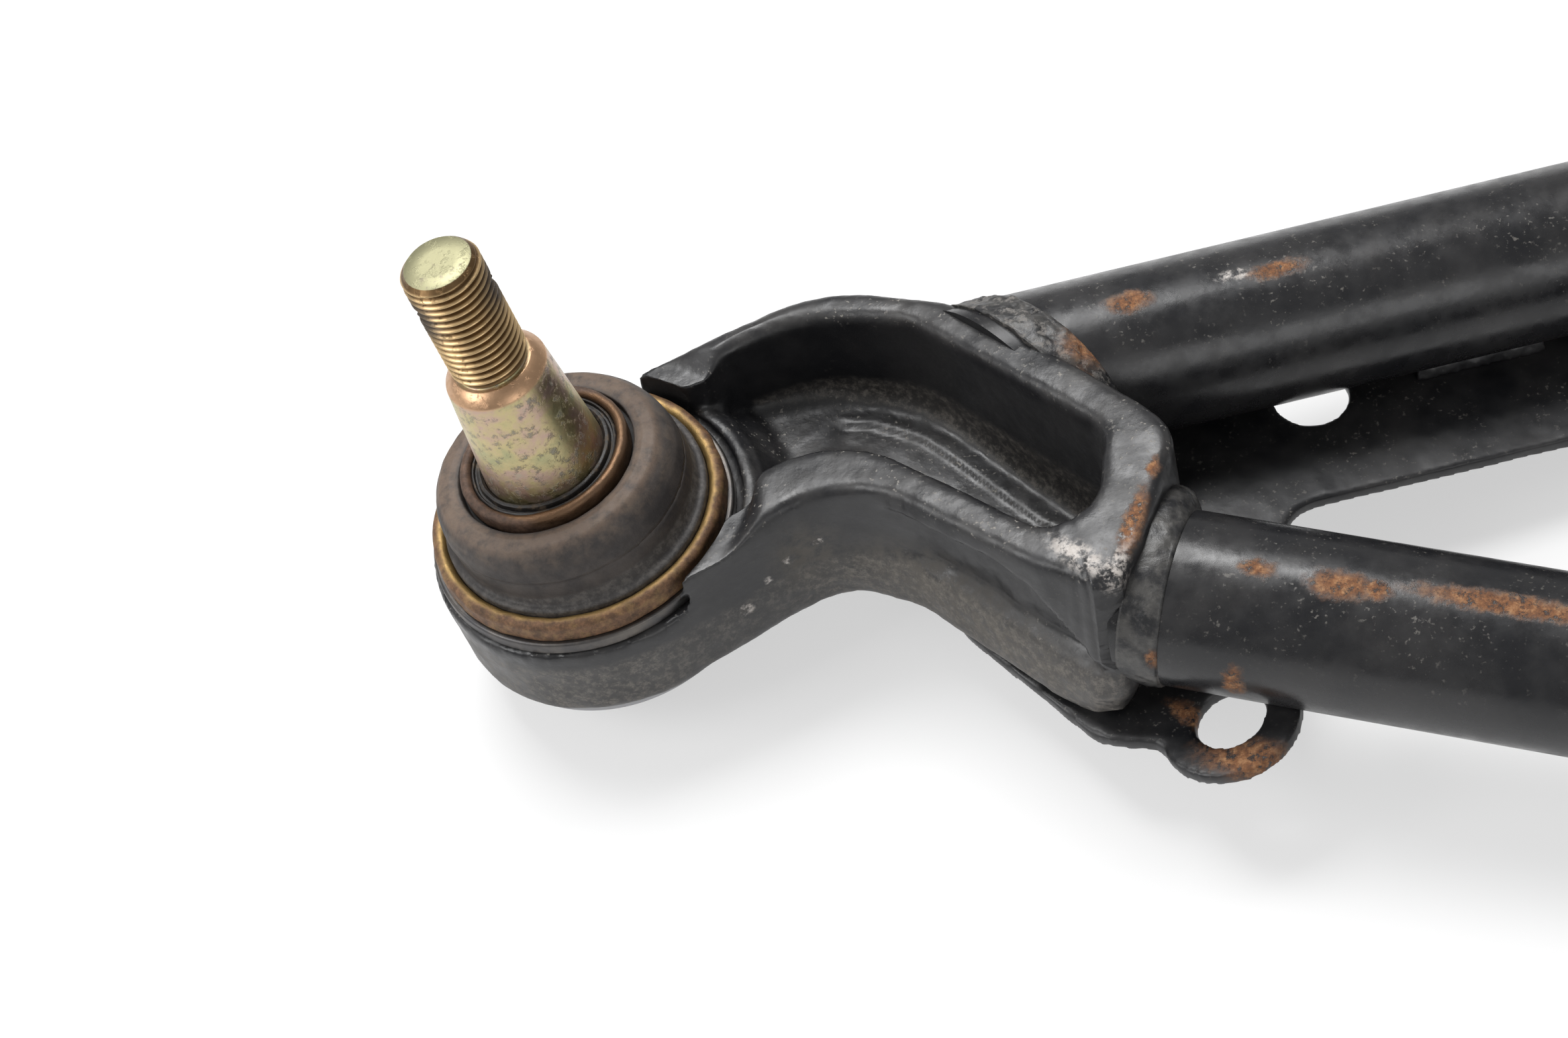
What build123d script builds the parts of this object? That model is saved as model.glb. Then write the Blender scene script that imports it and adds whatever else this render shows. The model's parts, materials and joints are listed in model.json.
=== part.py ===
from build123d import *
import os
from math import acos, asin, atan2, copysign, cos, degrees, hypot, radians, sin, tan

# Suspension a-arm: a forged end with a ball joint, two tubes that spread to two pivots,
# and a folded guard plate under them. Millimetres. The origin is the centre of the front
# pivot, +Y runs along the pivot axis to the rear pivot, +X points inboard and +Z is up.

# Layout of the arm
arm_length = 300.0  # pivot axis to the point where the tube axes meet
pivot_spacing = 154.0  # between the middles of the two pivots
tube_diameter = 25.4
tube_wall = 2.0
ball_inboard = 4.5  # ball centre, inboard of where the tube axes meet
ball_drop = 19.1  # ball centre, below the plane of the tubes
joint_lean = 7.0  # the ball joint leans outboard, degrees

# Clearances
seat_gap = 0.02  # between pieces that are pressed together
running_gap = 0.05  # radial, between a turning piece and its bearing
side_gap = 0.30  # beside a turning piece

# End forging, seen along the ball joint's axis from the ball centre
boss_diameter = 49.4
boss_top = 7.6  # above the ball centre
boss_bottom = -5.5
boss_draft = 3.0
boss_edge = 2.5
forging_bottom = -5.0
parting_height = 2.0
draft_up = 3.0
draft_down = 6.0
far_start = (0.0, 21.3)
far_bend_outer = (36.6, 34.2)
far_bend_inner = (57.6, 28.4)
far_corner = (92.0, -3.8)
near_corner = (81.3, -43.2)
near_bend = (42.5, -4.4)
outline_radii = (25.0, 18.0, 9.0, 10.0, 18.0)
rim_height = 14.8  # of the channel's rim over the ball centre, measured on the joint's axis
rim_slope = 5.3  # the rim rises inboard, degrees
rim_edge = 2.0
bottom_edge = 3.0

# Open channel in the forging
channel_wall = 8.3  # at the channel's floor
channel_depth = 16.5
channel_draft = 4.0
channel_radii = (22.0, 12.0, 5.0, 4.5, 21.0)
floor_edge = 3.0
spotface_diameter = 49.4
lip_wall = 1.5
lip_height = 10.2
lip_flank = 31.0  # slope of the lip's inboard flank from the joint's axis, degrees

# Ball joint
ball_diameter = 25.0
housing_diameter = 41.0
flange_diameter = 47.0
flange_height = 2.3
neck_diameter = 35.0
neck_height = 2.0
housing_bottom = -15.1
housing_bottom_diameter = 30.4
housing_cone_top = -8.6
mouth_tilt = 26.0  # half angle of the mouth, which sets how far the stud can tilt
mouth_contact = 64.0  # the upper race ends at this angle from the joint's axis
race_diameter = 29.0
race_hole = 14.0
race_top = 8.5
race_split = 0.15
lower_race_bottom = -12.0
spring_height = 0.9
spring_thickness = 0.5
spring_bore = 15.0
spring_diameter = 26.0
cap_thickness = 1.5
cap_lip = 0.7
rolled_lip = 1.0
circlip_thickness = 1.6
circlip_width = 2.6
circlip_groove = 1.4
circlip_gap = 9.0

# Ball stud, at the tilt at which it stands
stud_tilt_outboard = 4.0
stud_tilt_rearward = 2.2
stud_length = 69.1  # ball centre to the end of the thread
thread_diameter = 12.0
thread_length = 22.1
thread_chamfer = 0.9
thread_relief = 0.7  # depth of the groove at the foot of the thread
taper_small = 15.5
taper_ratio = 6.0
taper_length = 21.0
shoulder_chamfer = 1.75
neck_waist = 14.6
pin_hole_diameter = 3.2
pin_hole_inset = 6.8
pin_hole_turn = 23.0  # from inboard, about the stud
waist_length = 3.8  # cone between the neck and the taper
ball_flat = 14.0

# Boot and its rings
boot_skirt = 2.4
boot_flange_height = 2.1
boot_bulge_diameter = 37.0
boot_wall = 1.8
boot_waist_height = 13.4
boot_waist_diameter = 36.0
boot_bulge_height = 17.6
boot_shoulder_height = 21.6
boot_shoulder_diameter = 34.8
boot_top = 24.7  # along the stud
boot_top_diameter = 28.4
boot_seat = 23.7  # where the upper ring sits in the boot
retaining_ring_width = 2.2
retaining_ring_height = 3.2
retaining_ring_edge = 0.9
upper_ring_diameter = 26.2
upper_ring_width = 2.6
upper_ring_height = 3.2
dust_lip_thickness = 1.6

# Pivots
pivot_diameter = 30.0
pivot_length = 44.0
collar_diameter = 17.0
bolt_hole = 10.1
bushing_wall = 3.0
bushing_length = 18.0
bushing_flange = 2.0
bushing_flange_diameter = 27.0
cap_skirt = 5.0
cap_sheet = 1.4
pivot_edge = 0.8
cap_clearance = 0.35

# Guard plate
plate_thickness = 2.3
plate_reach = 190.0  # the leg's end, inboard of where the tube axes meet
plate_leg_inner = 25.0  # the leg's inner edge, from the rear tube's axis
plate_leg_outer = 6.0
plate_web_x = 107.0  # inboard edge between the tubes
plate_gap = 0.2
plate_corner = 7.0
tab_centre = (94.4, -36.8)
tab_radius = 10.4
tab_hole = 10.5
tab_rise = 10.0  # the tab is bent up by this much, degrees
tab_turn = -25.0  # towards this direction, degrees from inboard
tab_neck = 7.3  # from the bend to the tab's hole
leg_hole = 11.5
leg_hole_along = 114.1  # along the rear tube, and beside its axis
leg_hole_offset = -5.6
web_start = (53.0, -13.5)  # plan of the web, seen along the ball joint's axis
web_near = (74.9, -37.2)
web_notch = (83.2, -38.8)
web_far = (66.0, 10.0)
web_rear = 75.4
web_corner = 8.0
leg_corner = 5.0
front_reach = 27.0  # the plate's edge under the front tube, from the arm's middle

# Weld beads
bead_root = 6.0  # depth inside the forging's wall
bead_reach = 4.2
bead_rise = 5.0
bead_edge = 0.3
pivot_bead = 1.8
plate_bead = 3.0
plate_bead_length = 20.0
plate_bead_places = (130.0, 160.0)  # along the rear tube
plate_bead_offset = 5.0
web_bead = 2.0

os.makedirs("parts", exist_ok=True)

tube_radius = tube_diameter / 2
tube_angle = degrees(atan2(pivot_spacing / 2, arm_length))
tube_reach = hypot(pivot_spacing / 2, arm_length)
apex = Vector(-arm_length, pivot_spacing / 2, 0)
boss_radius = boss_diameter / 2
ball_radius = ball_diameter / 2
race_radius = race_diameter / 2
housing_radius = housing_diameter / 2
ball_centre = apex + Vector(ball_inboard, 0, -ball_drop)

lean = radians(joint_lean)
joint_plane = Plane(
    origin=ball_centre,
    x_dir=(cos(lean), 0, sin(lean)),
    z_dir=(-sin(lean), 0, cos(lean)),
)
stud_plane = joint_plane.rotated((-stud_tilt_rearward, -stud_tilt_outboard, 0))


def section_of(frame):
    """Plane that holds the frame's axis: sketch x is the radius and sketch y the height."""
    return Plane(origin=frame.origin, x_dir=frame.x_dir, z_dir=-frame.y_dir)


def axis_of(frame):
    return Axis(frame.origin, frame.z_dir)


joint_axis = axis_of(joint_plane)


def outline(plane, corners, radii):
    """Closed sketch through the corners, each rounded to its radius, 0 for a sharp one."""
    with BuildSketch(plane) as drawn:
        with BuildLine():
            Polyline(*corners, close=True)
        make_face()
        for corner, radius in zip(corners, radii):
            if radius:
                fillet(drawn.vertices().sort_by_distance((*corner, 0))[0], radius)
    return drawn.sketch


def turned(frame, corners, radii=()):
    """Solid of revolution about the frame's axis, from corners given as radius and height."""
    profile = outline(section_of(frame), corners, radii)
    with BuildPart() as body:
        revolve(profile, axis=axis_of(frame))
    return body.part


def bar(plane, radius, length):
    """Round bar from the plane along its normal."""
    with BuildPart() as body:
        with BuildSketch(plane):
            Circle(radius)
        extrude(amount=length)
    return body.part


def inset(corners, distance):
    """Corners of an open clockwise outline moved inward, with the turn at each."""
    moved = []
    turns = []
    for index, corner in enumerate(corners):
        arriving = Vector(*corner) - Vector(*corners[max(index - 1, 0)])
        leaving = Vector(*corners[min(index + 1, len(corners) - 1)]) - Vector(*corner)
        if index == 0:
            arriving = leaving
        if corner == corners[-1]:
            leaving = arriving
        turn = arriving.get_signed_angle(leaving)
        inward = Vector(arriving.Y, -arriving.X).normalized() + Vector(leaving.Y, -leaving.X).normalized()
        step = inward.normalized() * (distance / cos(radians(turn / 2)))
        moved.append((corner[0] + step.X, corner[1] + step.Y))
        turns.append(turn)
    return moved, turns


def drafted(plane, corners, radii, height, draft):
    """Body on the outline whose drafted sides close in by the draft over the height."""
    step = abs(height) * tan(radians(draft))
    moved, turns = inset(corners, step)
    bends = [radius + copysign(step, turn) if radius else 0 for radius, turn in zip(radii, turns)]
    with BuildPart() as body:
        loft([outline(plane, corners, radii), outline(plane.offset(height), moved, bends)], ruled=True)
    return body.part


def save(part, label):
    part.label = label
    export_step(part, f"parts/{label}.step")


# Plan of the forging: tangent to the boss in front, bent towards the front tube
near_reach = hypot(*near_bend)
near_slope = atan2(near_bend[1], near_bend[0]) + asin(boss_radius / near_reach)
near_start = (boss_radius * sin(near_slope), -boss_radius * cos(near_slope))
plan = [far_start, far_bend_outer, far_bend_inner, far_corner, near_corner, near_bend, near_start]
plan_radii = [0, *outline_radii, 0]
channel, _ = inset(plan, channel_wall)
rim_plane = Plane(joint_plane.location * Location((0, 0, rim_height), (0, -rim_slope, 0)))
body_height = 2 * rim_height

lip_radius = spotface_diameter / 2 + lip_wall
lip_run = (lip_height + ball_radius) * tan(radians(lip_flank))
lip = turned(
    joint_plane,
    [(0, -ball_radius), (lip_radius + lip_run, -ball_radius), (lip_radius, lip_height), (0, lip_height)],
)
floor_plane = rim_plane.offset(-channel_depth)
channel_space = drafted(floor_plane, channel, [0, *channel_radii, 0], body_height, -channel_draft)

with BuildPart() as channel_cutter:
    add(channel_space)
    floor_edges = channel_cutter.faces().sort_by(axis_of(rim_plane))[0].edges()
    fillet(floor_edges, floor_edge)
    add(lip, mode=Mode.SUBTRACT)

boss_foot = boss_radius - (parting_height - boss_bottom) * tan(radians(boss_draft))
boss = turned(
    joint_plane,
    [(0, boss_bottom), (boss_foot, boss_bottom), (boss_radius, parting_height), (boss_radius, boss_top),
     (0, boss_top)],
    [0, boss_edge, 0, 0, 0],
)


def past_boss(edge):
    """True for the edges that follow the forging's sides, not the line across its boss."""
    return joint_plane.to_local_coords(edge.center()).X > boss_radius / 2


parting_plane = joint_plane.offset(parting_height)
upper_half = drafted(parting_plane, plan, plan_radii, body_height, draft_up)
lower_half = drafted(parting_plane, plan, plan_radii, forging_bottom - parting_height, draft_down)

with BuildPart() as end_forging:
    add(upper_half)
    add(lower_half)
    split(bisect_by=rim_plane, keep=Keep.BOTTOM)
    add(channel_cutter.part, mode=Mode.SUBTRACT)
    rim = end_forging.faces().sort_by(axis_of(rim_plane))[-1].edges()
    fillet(rim.filter_by(past_boss), rim_edge)
    bottom = end_forging.faces().sort_by(joint_axis)[0].edges()
    fillet(bottom.filter_by(past_boss), bottom_edge)
    add(boss)
    with BuildSketch(joint_plane.offset(boss_top)):
        Circle(spotface_diameter / 2)
    extrude(amount=body_height, mode=Mode.SUBTRACT)
    with BuildSketch(joint_plane.offset(boss_bottom)):
        Circle(housing_radius + seat_gap)
    extrude(amount=body_height, mode=Mode.SUBTRACT)

save(end_forging.part, "end_forging")

# Tubes, and the beads that join them to the forging and to the pivots
pivot_radius = pivot_diameter / 2
walls = {
    "front": (-1, far_corner, near_corner),
    "rear": (1, far_bend_inner, far_corner),
}
sides = {}

for side, (turn, wall_start, wall_end) in walls.items():
    direction = Vector(cos(radians(tube_angle)), turn * sin(radians(tube_angle)), 0)
    tube_plane = Plane(origin=apex, z_dir=direction)
    pivot_plane = Plane(
        origin=(0, pivot_spacing * (turn + 1) / 2 - pivot_length / 2, 0),
        x_dir=(1, 0, 0),
        z_dir=(0, 1, 0),
    )
    pivot_core = bar(pivot_plane, pivot_radius, pivot_length)
    wall_run = (Vector(*wall_end) - Vector(*wall_start)).normalized()
    wall_plane = Plane(
        origin=joint_plane.from_local_coords(Vector(*wall_start)),
        x_dir=joint_plane.x_dir * wall_run.X + joint_plane.y_dir * wall_run.Y,
        z_dir=joint_plane.y_dir * wall_run.X - joint_plane.x_dir * wall_run.Y,
    )

    with BuildPart() as tube:
        with BuildSketch(tube_plane):
            Circle(tube_radius)
            Circle(tube_radius - tube_wall, mode=Mode.SUBTRACT)
        extrude(amount=tube_reach)
        split(bisect_by=wall_plane.offset(-channel_wall / 2), keep=Keep.TOP)
        add(end_forging.part, mode=Mode.SUBTRACT)
        add(pivot_core, mode=Mode.SUBTRACT)
    save(tube.part, f"{side}_tube")
    sides[side] = (direction, tube_plane, wall_plane, pivot_core, bar(tube_plane, tube_radius, tube_reach))

# Guard plate: a web flat under the forging, a level leg under the rear tube and a tab
web_plane = joint_plane.offset(forging_bottom)
leg_plane = Plane(origin=apex - Vector(0, 0, tube_radius + plate_gap))
fold_reach = (leg_plane.origin.Z - web_plane.origin.Z) / sin(lean)
fold_origin = web_plane.origin + web_plane.x_dir * fold_reach
fold_plane = Plane(origin=fold_origin, x_dir=(0, 1, 0), z_dir=(cos(lean / 2), 0, sin(lean / 2)))
fold_inboard = (fold_origin - apex).X
past_fold = 2 * plate_thickness
rear_slope = radians(tube_angle)
leg_along = Vector(cos(rear_slope), sin(rear_slope))
leg_across = Vector(-sin(rear_slope), cos(rear_slope))


def beside_tube(inboard, offset):
    """Sideways place of a line beside the rear tube's axis, at a distance inboard."""
    return inboard * tan(rear_slope) + offset / cos(rear_slope)


def leg_point(along, offset):
    place = leg_along * along + leg_across * offset
    return (place.X, place.Y)


tab_along = Vector(cos(radians(tab_turn)), sin(radians(tab_turn)))
tab_across = Vector(-tab_along.Y, tab_along.X)
tab_foot = Vector(*tab_centre) - tab_along * tab_neck
tab_chord = tab_across * tab_radius * sin(acos(tab_neck / tab_radius))
web_inboard = web_rear * cos(lean) + (web_plane.origin - apex).X
web_corners = [
    web_start,
    web_near,
    web_notch,
    ((tab_foot - tab_chord).X, (tab_foot - tab_chord).Y),
    ((tab_foot + tab_chord).X, (tab_foot + tab_chord).Y),
    (fold_reach + past_fold, -front_reach),
    (fold_reach + past_fold, beside_tube(fold_inboard + past_fold, plate_leg_outer)),
    (web_rear, beside_tube(web_inboard, plate_leg_outer)),
    web_far,
]
web = outline(web_plane, web_corners, [leg_corner, web_corner, 0, 0, 0, 0, 0, web_corner, web_corner])
leg_corners = [
    (fold_inboard - past_fold, -front_reach),
    (plate_web_x, -front_reach),
    (plate_web_x, beside_tube(plate_web_x, -plate_leg_inner)),
    leg_point(plate_reach, -plate_leg_inner),
    leg_point(plate_reach, plate_leg_outer),
    (fold_inboard - past_fold, beside_tube(fold_inboard - past_fold, plate_leg_outer)),
]
leg = outline(leg_plane, leg_corners, [0, 0, plate_corner, leg_corner, leg_corner, 0])
tab_out = joint_plane.x_dir * tab_along.X + joint_plane.y_dir * tab_along.Y
tab_plane = Plane(
    origin=web_plane.from_local_coords(tab_foot - Vector(0, 0, plate_thickness)),
    x_dir=tab_out * cos(radians(tab_rise)) + joint_plane.z_dir * sin(radians(tab_rise)),
    z_dir=joint_plane.z_dir * cos(radians(tab_rise)) - tab_out * sin(radians(tab_rise)),
)

with BuildPart() as leg_sheet:
    extrude(leg, amount=-plate_thickness)
    split(bisect_by=fold_plane, keep=Keep.TOP)

with BuildPart() as guard_plate:
    extrude(web, amount=-plate_thickness)
    split(bisect_by=fold_plane, keep=Keep.BOTTOM)
    add(leg_sheet.part)
    with BuildSketch(tab_plane):
        with Locations((tab_neck, 0)):
            Circle(tab_radius)
        with Locations((-tab_radius, 0)):
            Rectangle(2 * tab_radius, 2 * tab_radius, mode=Mode.SUBTRACT)
    extrude(amount=plate_thickness)
    with BuildSketch(tab_plane):
        with Locations((tab_neck, 0)):
            Circle(tab_hole / 2)
    extrude(amount=plate_thickness, both=True, mode=Mode.SUBTRACT)
    with BuildSketch(leg_plane):
        with Locations(leg_point(leg_hole_along, leg_hole_offset)):
            Circle(leg_hole / 2)
    extrude(amount=plate_thickness, both=True, mode=Mode.SUBTRACT)
    add([cores[-1] for cores in sides.values()], mode=Mode.SUBTRACT)
save(guard_plate.part, "guard_plate")

for side, (direction, tube_plane, wall_plane, pivot_core, tube_core) in sides.items():
    slant = direction.dot(wall_plane.z_dir)
    wall_reach = (wall_plane.origin - apex).dot(wall_plane.z_dir) / slant
    across = direction - wall_plane.z_dir * slant
    with BuildPart() as forging_weld:
        for height, swell in ((-bead_root, bead_reach), (0, bead_reach), (bead_rise, bead_edge)):
            centre = apex + direction * (wall_reach + height / slant)
            with BuildSketch(Plane(origin=centre, x_dir=across, z_dir=wall_plane.z_dir)):
                Ellipse(tube_radius / slant + swell, tube_radius + swell)
        loft()
        split(bisect_by=rim_plane.offset(-rim_edge), keep=Keep.BOTTOM)
        split(bisect_by=web_plane, keep=Keep.TOP)
        add([end_forging.part, tube_core, guard_plate.part], mode=Mode.SUBTRACT)
    save(forging_weld.part, f"{side}_forging_weld")

    far_end = tube_reach - pivot_radius
    bead = turned(
        tube_plane,
        [
            (tube_radius - tube_wall, far_end - bead_rise),
            (tube_radius, far_end - bead_rise),
            (tube_radius + pivot_bead, far_end),
            (tube_radius + pivot_bead, tube_reach),
            (tube_radius - tube_wall, tube_reach),
        ],
    )
    with BuildPart() as pivot_weld:
        add(bead)
        add([tube_core, pivot_core], mode=Mode.SUBTRACT)
    save(pivot_weld.part, f"{side}_pivot_weld")


# Ball joint housing, pressed into the boss and held by a circlip under it
neck_radius = neck_diameter / 2
flange_top = boss_top + flange_height
neck_top = flange_top + neck_height
contact_radius = ball_radius * sin(radians(mouth_contact))
contact_height = ball_radius * cos(radians(mouth_contact))
groove_radius = housing_radius - circlip_groove
groove_bottom = boss_bottom - circlip_thickness - 2 * seat_gap
lip_bore = race_radius - rolled_lip


def mouth_radius(height):
    """Radius of the mouth's cone, which starts where the upper race leaves the ball."""
    return contact_radius + (height - contact_height) * tan(radians(mouth_tilt))


ball_joint_housing = turned(
    joint_plane,
    [
        (lip_bore, housing_bottom),
        (housing_bottom_diameter / 2, housing_bottom),
        (housing_radius, housing_cone_top),
        (housing_radius, groove_bottom),
        (groove_radius, groove_bottom),
        (groove_radius, boss_bottom),
        (housing_radius, boss_bottom),
        (housing_radius, boss_top),
        (flange_diameter / 2, boss_top),
        (flange_diameter / 2, flange_top),
        (neck_radius, flange_top),
        (neck_radius, neck_top),
        (mouth_radius(neck_top), neck_top),
        (mouth_radius(race_top), race_top),
        (race_radius, race_top),
        (race_radius, housing_bottom + cap_lip),
        (lip_bore, housing_bottom + cap_lip),
    ],
)
save(ball_joint_housing, "ball_joint_housing")

bearing_radius = ball_radius + running_gap
race_fit = race_radius - seat_gap

with BuildPart() as upper_bearing_race:
    with BuildSketch(section_of(joint_plane)):
        with BuildLine():
            low = degrees(asin(race_split / bearing_radius))
            cup = CenterArc((0, 0), bearing_radius, low, 90 - mouth_contact - low)
            Polyline(
                cup @ 1,
                (mouth_radius(race_top), race_top - seat_gap),
                (race_fit, race_top - seat_gap),
                (race_fit, race_split),
                cup @ 0,
            )
        make_face()
    revolve(axis=joint_axis)
save(upper_bearing_race.part, "upper_bearing_race")

with BuildPart() as lower_bearing_race:
    with BuildSketch(section_of(joint_plane)):
        with BuildLine():
            high = degrees(asin(-race_split / bearing_radius))
            end = -degrees(acos(race_hole / 2 / bearing_radius))
            cup = CenterArc((0, 0), bearing_radius, high, end - high)
            Polyline(
                cup @ 1,
                (race_hole / 2, lower_race_bottom),
                (race_fit, lower_race_bottom),
                (race_fit, -race_split),
                cup @ 0,
            )
        make_face()
    revolve(axis=joint_axis)
save(lower_bearing_race.part, "lower_bearing_race")

spring_bottom = lower_race_bottom - spring_height
preload_spring = turned(
    joint_plane,
    [
        (spring_bore / 2, lower_race_bottom - spring_thickness),
        (spring_diameter / 2, spring_bottom),
        (spring_diameter / 2, spring_bottom + spring_thickness),
        (spring_bore / 2, lower_race_bottom),
    ],
)
save(preload_spring, "preload_spring")

with BuildPart() as bottom_cap:
    with BuildSketch(joint_plane.offset(spring_bottom)):
        Circle(race_fit)
    extrude(amount=-cap_thickness)
save(bottom_cap.part, "bottom_cap")

clip_plane = joint_plane.offset(boss_bottom - seat_gap)
with BuildPart() as circlip:
    with BuildSketch(clip_plane):
        Circle(groove_radius + seat_gap + circlip_width)
        Circle(groove_radius + seat_gap, mode=Mode.SUBTRACT)
        with Locations((groove_radius + circlip_width / 2, 0)):
            Rectangle(2 * circlip_width, circlip_gap, mode=Mode.SUBTRACT)
    extrude(amount=-circlip_thickness)
save(circlip.part, "circlip")

# Ball stud at its resting tilt
shoulder_height = stud_length - thread_length
taper_top = shoulder_height - shoulder_chamfer
taper_bottom = taper_top - taper_length


def taper_radius(height):
    return taper_small / 2 + (taper_top - height) / taper_ratio / 2


waist_radius = neck_waist / 2
thread_radius = thread_diameter / 2
relief_radius = thread_radius - thread_relief

with BuildPart() as ball_stud:
    with BuildSketch(section_of(stud_plane)):
        with BuildLine():
            low = -degrees(acos(ball_flat / 2 / ball_radius))
            high = degrees(acos(waist_radius / ball_radius))
            ball = CenterArc((0, 0), ball_radius, low, high - low)
            Polyline(
                ball @ 1,
                (waist_radius, taper_bottom - waist_length),
                (taper_radius(taper_bottom), taper_bottom),
                (taper_radius(taper_top), taper_top),
                (taper_radius(taper_top) - shoulder_chamfer, shoulder_height),
                (relief_radius, shoulder_height),
                (relief_radius, shoulder_height + thread_relief),
                (thread_radius, shoulder_height + 2 * thread_relief),
                (thread_radius, stud_length - thread_chamfer),
                (thread_radius - thread_chamfer, stud_length),
                (0, stud_length),
                (0, (ball @ 0).Y),
                ball @ 0,
            )
        make_face()
    revolve(axis=axis_of(stud_plane))
    pin_direction = stud_plane.x_dir.rotate(axis_of(Plane(origin=(0, 0, 0), z_dir=stud_plane.z_dir)), pin_hole_turn)
    with BuildSketch(Plane(origin=stud_plane.offset(stud_length - pin_hole_inset).origin, z_dir=pin_direction)):
        Circle(pin_hole_diameter / 2)
    extrude(amount=thread_diameter, both=True, mode=Mode.SUBTRACT)
save(ball_stud.part, "ball_stud")


def tilted(share, height):
    """The joint's frame turned by a share of the stud's tilt, at a height over the ball."""
    return joint_plane.rotated((-stud_tilt_rearward * share, -stud_tilt_outboard * share, 0)).offset(height)


# Boot: its skirt sits on the housing's flange and its top follows the stud
skirt_top = flange_top + boot_flange_height
boot_rings = [
    (0, skirt_top, neck_radius + boot_wall),
    (0.1, boot_waist_height, boot_waist_diameter / 2),
    (0.5, boot_bulge_height, boot_bulge_diameter / 2),
    (0.9, boot_shoulder_height, boot_shoulder_diameter / 2),
    (1, boot_top, boot_top_diameter / 2),
]
upper_ring_radius = upper_ring_diameter / 2
ring_bore = upper_ring_radius - upper_ring_width
boot_skirt_plane = joint_plane.offset(flange_top + seat_gap)


def boot_body(thinner, lower):
    """Body through the boot's rings, made thinner all round and lower at its top."""
    with BuildPart() as body:
        for share, height, radius in boot_rings:
            drop = lower if height == boot_top else 0
            with BuildSketch(tilted(share, height - drop)):
                Circle(radius - thinner)
        loft()
    return body.part


with BuildPart() as boot:
    add(boot_body(0, 0))
    add(boot_body(boot_wall, boot_top - boot_seat + boot_wall), mode=Mode.SUBTRACT)
    with BuildSketch(boot_skirt_plane):
        Circle(neck_radius + boot_skirt)
        Circle(neck_radius + seat_gap, mode=Mode.SUBTRACT)
    extrude(amount=boot_flange_height)
    with BuildSketch(stud_plane.offset(boot_seat)):
        Circle(upper_ring_radius + seat_gap)
    extrude(amount=upper_ring_height, mode=Mode.SUBTRACT)
    with BuildSketch(stud_plane.offset(boot_seat - 2 * boot_wall)):
        Circle(ring_bore)
    extrude(amount=2 * boot_wall, mode=Mode.SUBTRACT)
save(boot.part, "boot")

retaining_bore = neck_radius + boot_skirt + seat_gap
boot_retaining_ring = turned(
    joint_plane,
    [
        (retaining_bore, flange_top),
        (retaining_bore + retaining_ring_width, flange_top),
        (retaining_bore + retaining_ring_width, flange_top + retaining_ring_height),
        (retaining_bore, flange_top + retaining_ring_height),
    ],
    [0, 0, retaining_ring_edge, retaining_ring_edge],
)
save(boot_retaining_ring, "boot_retaining_ring")

ring_bottom = boot_seat + seat_gap
boot_upper_ring = turned(
    stud_plane,
    [
        (ring_bore, ring_bottom),
        (upper_ring_radius, ring_bottom),
        (upper_ring_radius, ring_bottom + upper_ring_height),
        (ring_bore, ring_bottom + upper_ring_height),
    ],
    [0, 0, retaining_ring_edge, retaining_ring_edge],
)
save(boot_upper_ring, "boot_upper_ring")

lip_top = ring_bottom + dust_lip_thickness
dust_lip = turned(
    stud_plane,
    [
        (taper_radius(ring_bottom) + running_gap, ring_bottom),
        (ring_bore - seat_gap, ring_bottom),
        (ring_bore - seat_gap, lip_top),
        (taper_radius(lip_top) + running_gap, lip_top),
    ],
)
save(dust_lip, "dust_lip")

# Pivots: a bushed housing, the collar that turns in it and the caps pressed on the collar
collar_radius = collar_diameter / 2
bushing_bore = collar_radius + running_gap
bushing_radius = bushing_bore + bushing_wall
half_housing = pivot_length / 2
flange_face = half_housing + bushing_flange
cap_inside = flange_face + side_gap
cap_outside = cap_inside + cap_sheet
cap_bore = pivot_radius + cap_clearance

for side, (turn, _, _) in walls.items():
    centre = Plane(origin=(0, pivot_spacing * (turn + 1) / 2, 0), x_dir=(1, 0, 0), z_dir=(0, 1, 0))

    with BuildPart() as housing:
        with BuildSketch(centre.offset(-half_housing)):
            Circle(pivot_radius)
            Circle(bushing_radius + seat_gap, mode=Mode.SUBTRACT)
        extrude(amount=pivot_length)
        chamfer(housing.edges().filter_by(GeomType.CIRCLE), pivot_edge)
    save(housing.part, f"{side}_pivot_housing")

    with BuildPart() as collar:
        with BuildSketch(centre.offset(-cap_outside)):
            Circle(collar_radius)
            Circle(bolt_hole / 2, mode=Mode.SUBTRACT)
        extrude(amount=2 * cap_outside)
    save(collar.part, f"{side}_pivot_collar")

    for end, facing in (("outer", turn), ("inner", -turn)):
        end_plane = Plane(origin=centre.origin, x_dir=(1, 0, 0), z_dir=(0, facing, 0))
        bushing = turned(
            end_plane,
            [
                (bushing_bore, flange_face - bushing_length),
                (bushing_radius, flange_face - bushing_length),
                (bushing_radius, half_housing),
                (bushing_flange_diameter / 2, half_housing),
                (bushing_flange_diameter / 2, flange_face),
                (bushing_bore, flange_face),
            ],
        )
        save(bushing, f"{side}_{end}_bushing")
        cap = turned(
            end_plane,
            [
                (collar_radius + seat_gap, cap_inside),
                (cap_bore, cap_inside),
                (cap_bore, cap_inside - cap_skirt),
                (cap_bore + cap_sheet, cap_inside - cap_skirt),
                (cap_bore + cap_sheet, cap_outside),
                (collar_radius + seat_gap, cap_outside),
            ],
            [0, 0, 0, 0, cap_sheet, 0],
        )
        save(cap, f"{side}_{end}_dust_cap")


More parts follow.
